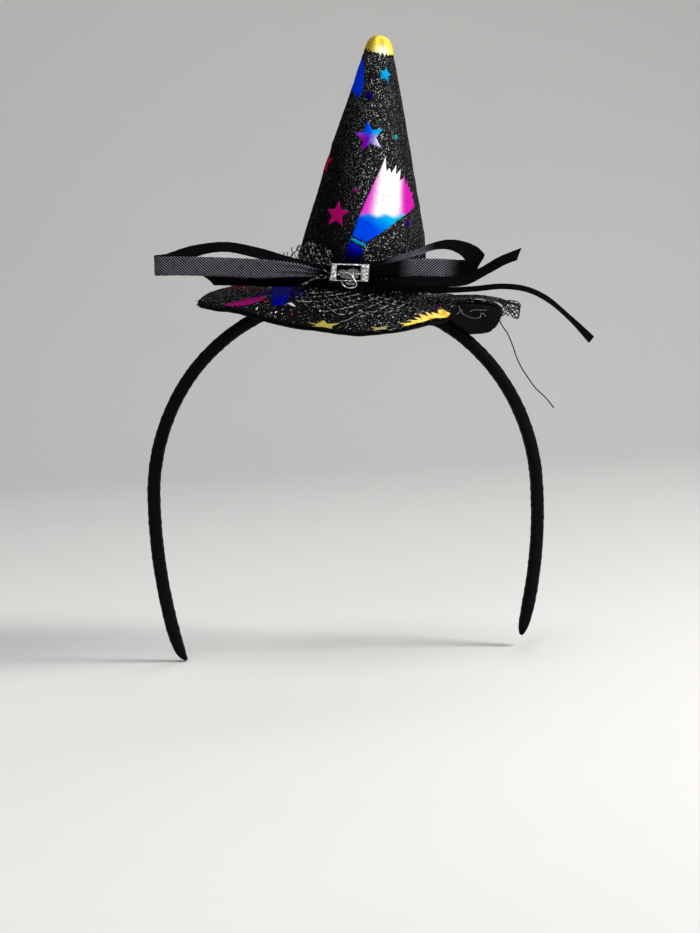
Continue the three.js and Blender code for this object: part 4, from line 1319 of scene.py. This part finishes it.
def knot():
    """Ribbon wound over the middle of the bow, drawn into pleats."""
    share = np.linspace(-1, 1, 90)[:, None]
    angle = ring_angles(64, 0.5)
    swell = 1 - 0.14 * np.abs(share) ** 3 - 0.5 * smooth_step(0.93, 1, np.abs(share))
    pleat = 0.3 * np.cos(share * 14 + 1.4 * np.sin(angle)) + 0.12 * np.cos(share * 31 + np.cos(2 * angle))
    swell = swell * (1 + (pleat - 0.3) / (KNOT_SIZE[2] / 2))
    x = KNOT_OFFSET + share * KNOT_SIZE[0] / 2
    y = KNOT_MIDDLE + KNOT_SIZE[1] / 2 * swell * squared_off(np.cos(angle), 0.6)
    z = KNOT_RISE + KNOT_SIZE[2] / 2 * swell * squared_off(np.sin(angle), 0.6)
    body = skin(stacked(x, y, z))
    girth = np.abs(angle - np.pi) * 3.4
    uv = np.vstack([stacked(girth, share * KNOT_SIZE[0] / 2).reshape(-1, 2), [[0, -6.5], [0, 6.5]]])
    colours = np.tile((0.006, 0.006, 0.007), (len(body[0]), 1))
    add_piece("knot_ribbon", body, TWILL, ("bow_knot",), uv=uv, colour=colours)


# Corners of the buckle's frame about its middle, from the lower left round: across and up
BUCKLE_OUTER = [(-8.2, -4), (7.9, -3.2), (7.9, 3.95), (-7.6, 3.3)]
BUCKLE_INNER = [(-5.2, -3.45), (4.5, -2.75), (4.15, 3.2), (-5.35, 2.85)]


def buckle():
    """Cast frame with a lumpy bright face, wide posts and thin worn rails."""
    share = np.linspace(0, 1, 90, endpoint=False)[:, None]

    def walk(corners):
        corners = np.array(corners, float)
        return np.concatenate([a + (b - a) * share for a, b in zip(corners, np.roll(corners, -1, axis=0))])

    outer, inner = walk(BUCKLE_OUTER), walk(BUCKLE_INNER)
    edge = stacked(outer[:, 0], 0, outer[:, 1])
    worn = 0.7 * np.clip(value_noise(edge, 1.5, 33), 0, 1) * (1 - smooth_step(4, 5.5, np.abs(outer[:, 0])))
    inner = inner + (outer - inner) * worn[:, None]
    outer = outer + 0.12 * value_noise(edge, 0.9, 34)[:, None] * unit(outer)
    across = np.linspace(0, 1, 15)
    front = 1 - np.abs(2 * across - 1) ** 6
    u = np.concatenate([across, across[::-1][1:-1]])
    rise = np.concatenate([front * 0.5 + 0.5, np.zeros(len(front) - 2)])
    rise[[0, 14]] = 0.35
    spots = inner[:, None] + (outer - inner)[:, None] * u[:, None]
    x, z = spots[..., 0], spots[..., 1]
    place = stacked(x, 0, z)
    lumps = 0.22 * value_noise(place, 0.9, 31) + 0.16 * value_noise(place, 0.4, 32)
    lift = BUCKLE_SIZE[1] * rise + np.where(rise > 0.4, lumps - 0.1, 0)
    loops = stacked(KNOT_OFFSET + x, KNOT_FRONT - CLEARANCE - lift, KNOT_RISE + z)
    steps, count = loops.shape[:2]
    faces = grid_faces(steps, count)
    last = (steps - 1) * count
    faces += [(last + i, last + (i + 1) % count, (i + 1) % count, i) for i in range(count)]
    add_piece("cast_buckle", (loops.reshape(-1, 3), faces), METAL, ("buckle",))


# Wire tongue: across, front and up as shares, as the solids have them
PRONG_ROUTE = [
    (-0.78, 0, -0.06), (-0.3, 0, -0.08), (0, 0.15, -0.1), (0.3, 0.6, -0.5), (0.52, 1, -0.88),
    (0.66, 1, -1.3), (0.36, 1, -1.6), (-0.1, 1, -1.64), (-0.46, 1, -1.42), (-0.62, 1, -1.08),
]
# Short ends of wire that hold the tongue, about the buckle's middle
WIRE_ENDS = [((1.4, 0), (1.8, -2.2)), ((2.3, -0.45), (4.4, -0.3)), ((-4.9, -1), (-4.3, -1.3))]


def prong():
    """Wire tongue that crosses the lower rail and curls under it, and the ends of wire beside it."""
    inside = KNOT_FRONT - CLEARANCE - PRONG_DIAMETER / 2
    before = inside - CLEARANCE - BUCKLE_SIZE[1]
    half = BUCKLE_SIZE[0] / 2 - BUCKLE_POST
    rail = BUCKLE_SIZE[2] / 2
    stops = [(KNOT_OFFSET + x * half, inside + (before - inside) * y, KNOT_RISE + z * rail)
             for x, y, z in PRONG_ROUTE]
    bodies = [smooth_tube(stops, 120, PRONG_DIAMETER / 2 * 0.9, 12)]
    for start, end in WIRE_ENDS:
        path = np.linspace(start, end, 8)
        path = stacked(KNOT_OFFSET + path[:, 0], inside - 0.3, KNOT_RISE + path[:, 1])
        bodies.append(skin(tube(path, 0.26, 10)))
    add_piece("wire_prong", joined(bodies), WIRE, ("buckle_prong",))


# Glue: middle, half width, half height, depth, distance before the knot and seed
GLUE_BLOBS = [
    (-2.6, -0.4, 2.3, 1.3, 0.5, 0.3, 61), (1.2, -0.4, 3, 2.2, 0.6, 0.3, 63),
    (-0.4, -1.8, 3.8, 1, 0.5, 0.3, 65), (0.5, -4.6, 2, 0.7, 0.7, 1.2, 67),
]


def glue():
    """Clear glue that fills the buckle's opening and drips under its lower rail."""
    bodies = []
    for x, z, wide, high, deep, front, seed in GLUE_BLOBS:
        turn = np.linspace(0, 2 * np.pi, 64, endpoint=False)
        share = np.sin(np.linspace(0.05, np.pi / 2, 16))[::-1, None]
        ragged = 1 + 0.13 * value_noise(stacked(3 * np.cos(turn), 3 * np.sin(turn), 0), 1, seed)
        across, up = wide * share * ragged * np.cos(turn), high * share * ragged * np.sin(turn)
        place = stacked(across, up, 0)
        bulge = deep * np.sqrt(np.clip(1 - share**2, 0, 1)) * (1 + 0.55 * value_noise(place, 1.1, seed + 1))
        face = stacked(KNOT_OFFSET + x + across, KNOT_FRONT - front - bulge, KNOT_RISE + z + up)
        back = face.copy()
        back[..., 1] = KNOT_FRONT - front + 0.2
        bodies.append(skin(np.concatenate([face[::-1], back])))
    add_piece("clear_glue", joined(bodies), GLUE)


def strand(start, end, place, wave, seed):
    """One side of a net cell, from lattice point to lattice point, with a slight twist."""
    share = np.linspace(0, 1, 7)
    belly = np.sin(np.pi * share)
    sway = wave * belly * math.sin(seed * 12.9898)
    twist = 0.6 * wave * np.sin(2 * np.pi * share) * math.sin(seed * 78.233)
    u = start[0] + (end[0] - start[0]) * share + sway
    v = start[1] + (end[1] - start[1]) * share + twist
    out = 0.9 * belly * math.sin(seed * 37.719)
    path = np.array([place(a, b, o) for a, b, o in zip(u, v, out)])
    return skin(tube(path, STRAND / 2 * (1 + 0.25 * np.abs(1 - 2 * share)), 6))


def lump(spot, radius):
    """A small knot where strands cross."""
    tilt = np.linspace(0.25, np.pi - 0.25, 5)[:, None]
    turn = ring_angles(8)
    ball = stacked(np.sin(tilt) * np.cos(turn), np.sin(tilt) * np.sin(turn), np.cos(tilt))
    return skin(spot + ball * radius)


def net(name, cells, place, wave, replaces):
    """Diamond net of strands knotted at their crossings; place takes cell units and a lift."""
    across, down = cells
    bodies, seed = [], 1
    for q in range(2 * down + 1):
        for p in range(2 * across + 1):
            if (p + q) % 2 == 0:
                continue
            here = (p / 2, q / 2)
            bodies.append(lump(place(here[0], here[1], 0), STRAND * 0.85))
            for step in (-1, 1):
                there = ((p + step) / 2, (q + 1) / 2)
                if 0 <= there[0] <= across and there[1] <= down:
                    bodies.append(strand(here, there, place, wave, seed))
                    seed += 1
    add_piece(name, joined(bodies), NYLON, replaces)


def veil_place(u, v, out):
    """Point of the veil over the brim."""
    along, down = u / VEIL_CELLS[0], v / VEIL_CELLS[1]
    angle = math.radians(float(column(VEIL_ROWS, 0, along)))
    inner, inner_lift, outer, outer_lift = (float(column(VEIL_ROWS, k, along)) for k in (1, 2, 3, 4))
    radius = BRIM_RADIUS * (inner + (outer - inner) * down)
    lift = NET_LIFT * (inner_lift + (outer_lift - inner_lift) * down)
    height = float(brim_top(radius, angle)) + CLEARANCE + NET_THICKNESS / 2 + lift + out * NET_THICKNESS / 2
    return np.array([radius * math.cos(angle), radius * math.sin(angle), height])


def tuft_place(u, v, out):
    """Point of the tuft that stands against the crown."""
    along, down = u / TUFT_CELLS[0], v / TUFT_CELLS[1]
    low = KNOT_RISE - KNOT_SIZE[2] / 4
    angle = math.radians(TUFT_TURNS[0] + (TUFT_TURNS[1] - TUFT_TURNS[0]) * along)
    height = low + TUFT_HEIGHT * (1 - down) * (0.72 + 0.28 * math.sin(math.pi * min(max(along, 0), 1)))
    flare = (1 - down) * (1.2 * math.sin(7 * along + 1) ** 2 + 2.2 * (1 - along) ** 3)
    gap = CLEARANCE + CROWN_DENT + CROWN_BOW + NET_THICKNESS / 2
    radius = float(crown_radius(height / CROWN_HEIGHT)) + gap + flare + out * NET_THICKNESS / 2
    return np.array([radius * math.cos(angle), radius * math.sin(angle), height])


# Twisted upper edge of the veil at the right, and the corners of its free end
VEIL_EDGE = [
    (35.7, -37, 3.9), (38.5, -37, 3.8), (41.3, -37.5, 4.2), (44.6, -37.5, 4.1), (48.8, -36, 3.5),
    (53, -34, 2.7), (57.3, -32, 1.9), (61.5, -31, 1.5), (65.6, -31, 1),
]
VEIL_END = [(57.6, -31.5, 2.4), (65.8, -31, 1.3), (65.4, -31, -4.4), (58.3, -31.5, -4)]
# Stray strands beside the buckle
LOOSE_STRANDS = [
    [(-24, -37.5, 3.6), (-21, -37.5, 5.4), (-17.6, -37.5, 7.8), (-16, -37.6, 8.1), (-14.4, -37.5, 7.8),
     (-12.9, -37.4, 7.7)],
    [(-24.6, -37.5, 2), (-20.5, -37.5, 5.4), (-17.5, -37.5, 6.9), (-15.9, -37.5, 6.6), (-14, -37.5, 7.4),
     (-12.8, -37, 7)],
    [(-20.5, -37, 12.6), (-17.4, -37.5, 12.9), (-15.7, -37.5, 10.8), (-13.2, -37.5, 9)],
]
# Cut ends that stick up from the tuft, as x and z at one depth
SPIKE_DEPTH = -14
TUFT_SPIKES = [
    [(-32.8, 10.2), (-32.4, 11.5), (-32.7, 12.5)],
    [(-30.7, 10.3), (-31.2, 11.8), (-31, 12.8)],
    [(-29.5, 10.4), (-28.8, 12.2), (-29.5, 13.8), (-29.2, 14.9)],
    [(-27, 10.2), (-28.1, 12.2), (-27.4, 13.9), (-27.1, 15.6)],
    [(-25.7, 10.3), (-26.3, 13.2), (-25.8, 14.9), (-26.5, 15.7)],
    [(-30.3, 10.4), (-28.4, 12.8), (-26.8, 14)],
]


def veil_ends():
    """Net drawn together: its twisted upper edge, its free end and stray strands by the buckle."""
    bodies = []
    edge = centripetal(VEIL_EDGE, np.linspace(0, 1, 130))
    around = np.linspace(0, 26, 130)
    for k in range(3):
        turn = around + k * 2.1
        size = 0.34 + 0.18 * np.sin(around * 0.7 + k)
        off = stacked(0, size * np.cos(turn), size * np.sin(turn))
        bodies.append(skin(tube(edge + off, STRAND / 2, 6)))
    a, b, c, d = (np.array(corner) for corner in VEIL_END)

    def spot(u, v):
        wave = 0.25 * math.sin(9 * u + 3) + 0.3 * math.sin(7 * v + 4 * u)
        flat = (a * (1 - u) + b * u) * (1 - v) + (d * (1 - u) + c * u) * v
        return flat + np.array([0.12 * wave, 0.5 * math.sin(5 * u + 8 * v), wave])

    for line in range(9):
        for way in (1, -1):
            shares = np.linspace(0, 1, 14)
            u = line / 4 - 0.5 + 0.5 * way * (shares - 0.5) * 1.6
            inside = (u > -0.04) & (u < 1.04)
            path = [spot(x, y) for x, y in zip(u[inside], shares[inside])]
            if len(path) > 3:
                bodies.append(skin(tube(np.array(path), STRAND / 2 * 1.1, 6)))
    for start, end in ((0, 1), (1, 0)):
        path = [spot(0.98, start + (end - start) * share) for share in np.linspace(0, 1, 14)]
        bodies.append(skin(tube(np.array(path) + [0.2 * start, 0.3 * start, 0], STRAND / 2 * 1.1, 6)))
    for stops in LOOSE_STRANDS + [[(x, SPIKE_DEPTH, z) for x, z in spike] for spike in TUFT_SPIKES]:
        bodies.append(smooth_tube(stops, 30, STRAND / 2, 6))
    add_piece("veil_ends", joined(bodies), NYLON)


# Strings of glue on the felt's underside and pale fibres on the brim, as x and y about the crown
GLUE_STRINGS = [
    [(43.9, 10.4), (44.7, 16.2), (47, 16.3), (49.8, 12.7), (51.7, 7.8), (52, 1.1), (53.9, 3.2)],
    [(40.8, 1.1), (43.3, 14.3), (42.5, 22.7)],
    [(47.2, 6.8), (49, 0), (51.5, -5), (53.4, -9.9)],
]
FIBRES = [
    [(-7.3, -59.2), (-5.3, -58), (-3.3, -56.4), (-1, -53), (1.3, -50.6), (5.7, -48.7)],
    [(-4, -61.7), (-4.7, -63.9), (-5.2, -65.2)],
]


def fibres():
    """Strings of glue under the brim and pale stray fibres on it."""
    for name, lines, out, radius, material in (("glue_strings", GLUE_STRINGS, -2.75, 0.12, GLUE),
                                               ("stray_fibres", FIBRES, 0.5, 0.09, FIBRE)):
        bodies = []
        for stops in lines:
            flat = centripetal([(x, y, 0) for x, y in stops], np.linspace(0, 1, 50))
            bodies.append(skin(tube(on_brim(flat[:, 0], flat[:, 1], out), radius, 6)))
        add_piece(name, joined(bodies), material)


# Hairs of fuzz along the rim
HAIRS = 420


def fuzz():
    """Short dark hairs along the brim's cut rim."""
    bodies = []
    for angle in rng.uniform(-np.pi, np.pi, HAIRS):
        depth = rng.uniform(0.1, BRIM_WALL + LINING_WALL)
        reach = float(rim_reach(angle)) - 0.4
        x, y = reach * math.cos(angle), reach * math.sin(angle)
        root = on_brim(x, y, -depth)
        away = np.array([math.cos(angle), math.sin(angle), 0]) * 1.2 + rng.normal(size=3) * 0.6
        bend = rng.normal(size=3) * 0.25
        share = np.linspace(0, 1, 4)[:, None]
        path = root + away * share * rng.uniform(0.4, 1) + bend * share**2
        bodies.append(skin(tube(path, np.array([0.05, 0.045, 0.035, 0.02]), 3)))
    add_piece("rim_fuzz", joined(bodies), THREAD)


def thread():
    """The loose end of sewing thread that hangs from the brim's right edge."""
    stops = [(x, THREAD_DEPTH + 0.8 * math.sin(0.35 * z), z) for x, z in THREAD_ROUTE]
    path = centripetal(stops, np.linspace(0, 1, 80))
    piece = add_piece("loose_thread", skin(tube(path, THREAD_DIAMETER / 2, 8)), THREAD)
    placed = from_hat(path) * MM
    tuple(placed[0])
    [tuple(p) for p in placed]


CLOTH, FELT, SATIN, TWILL = hat_cloth(), plain_felt(), band_satin(), ribbon_twill()
NYLON, METAL, WIRE, FOIL, FLAKE = net_nylon(), buckle_metal(), wire(), foil(), flake()
THREAD, FIBRE, GLUE = black_thread(), pale_fibre(), clear_glue()

camera()
thread()
studio()
band()
crown()
brim_disc("hat_brim", ("brim",), CLOTH, 0, BRIM_WALL, 41)
brim_disc("felt_lining", ("brim_lining",), FELT, BRIM_WALL + LINING_GAP, LINING_WALL, 43)
crown_foil()
tip_cap()
brim_foil()
crown_glitter()
brim_glitter()
for strip, strip_values in BOW.items():
    ribbon(strip, **strip_values)
knot()
buckle()
prong()
glue()
net("veil_strands", VEIL_CELLS, veil_place, VEIL_WAVE, ("net_veil",))
net("tuft_strands", TUFT_CELLS, tuft_place, TUFT_WAVE, ("net_tuft",))
veil_ends()
fibres()
fuzz()
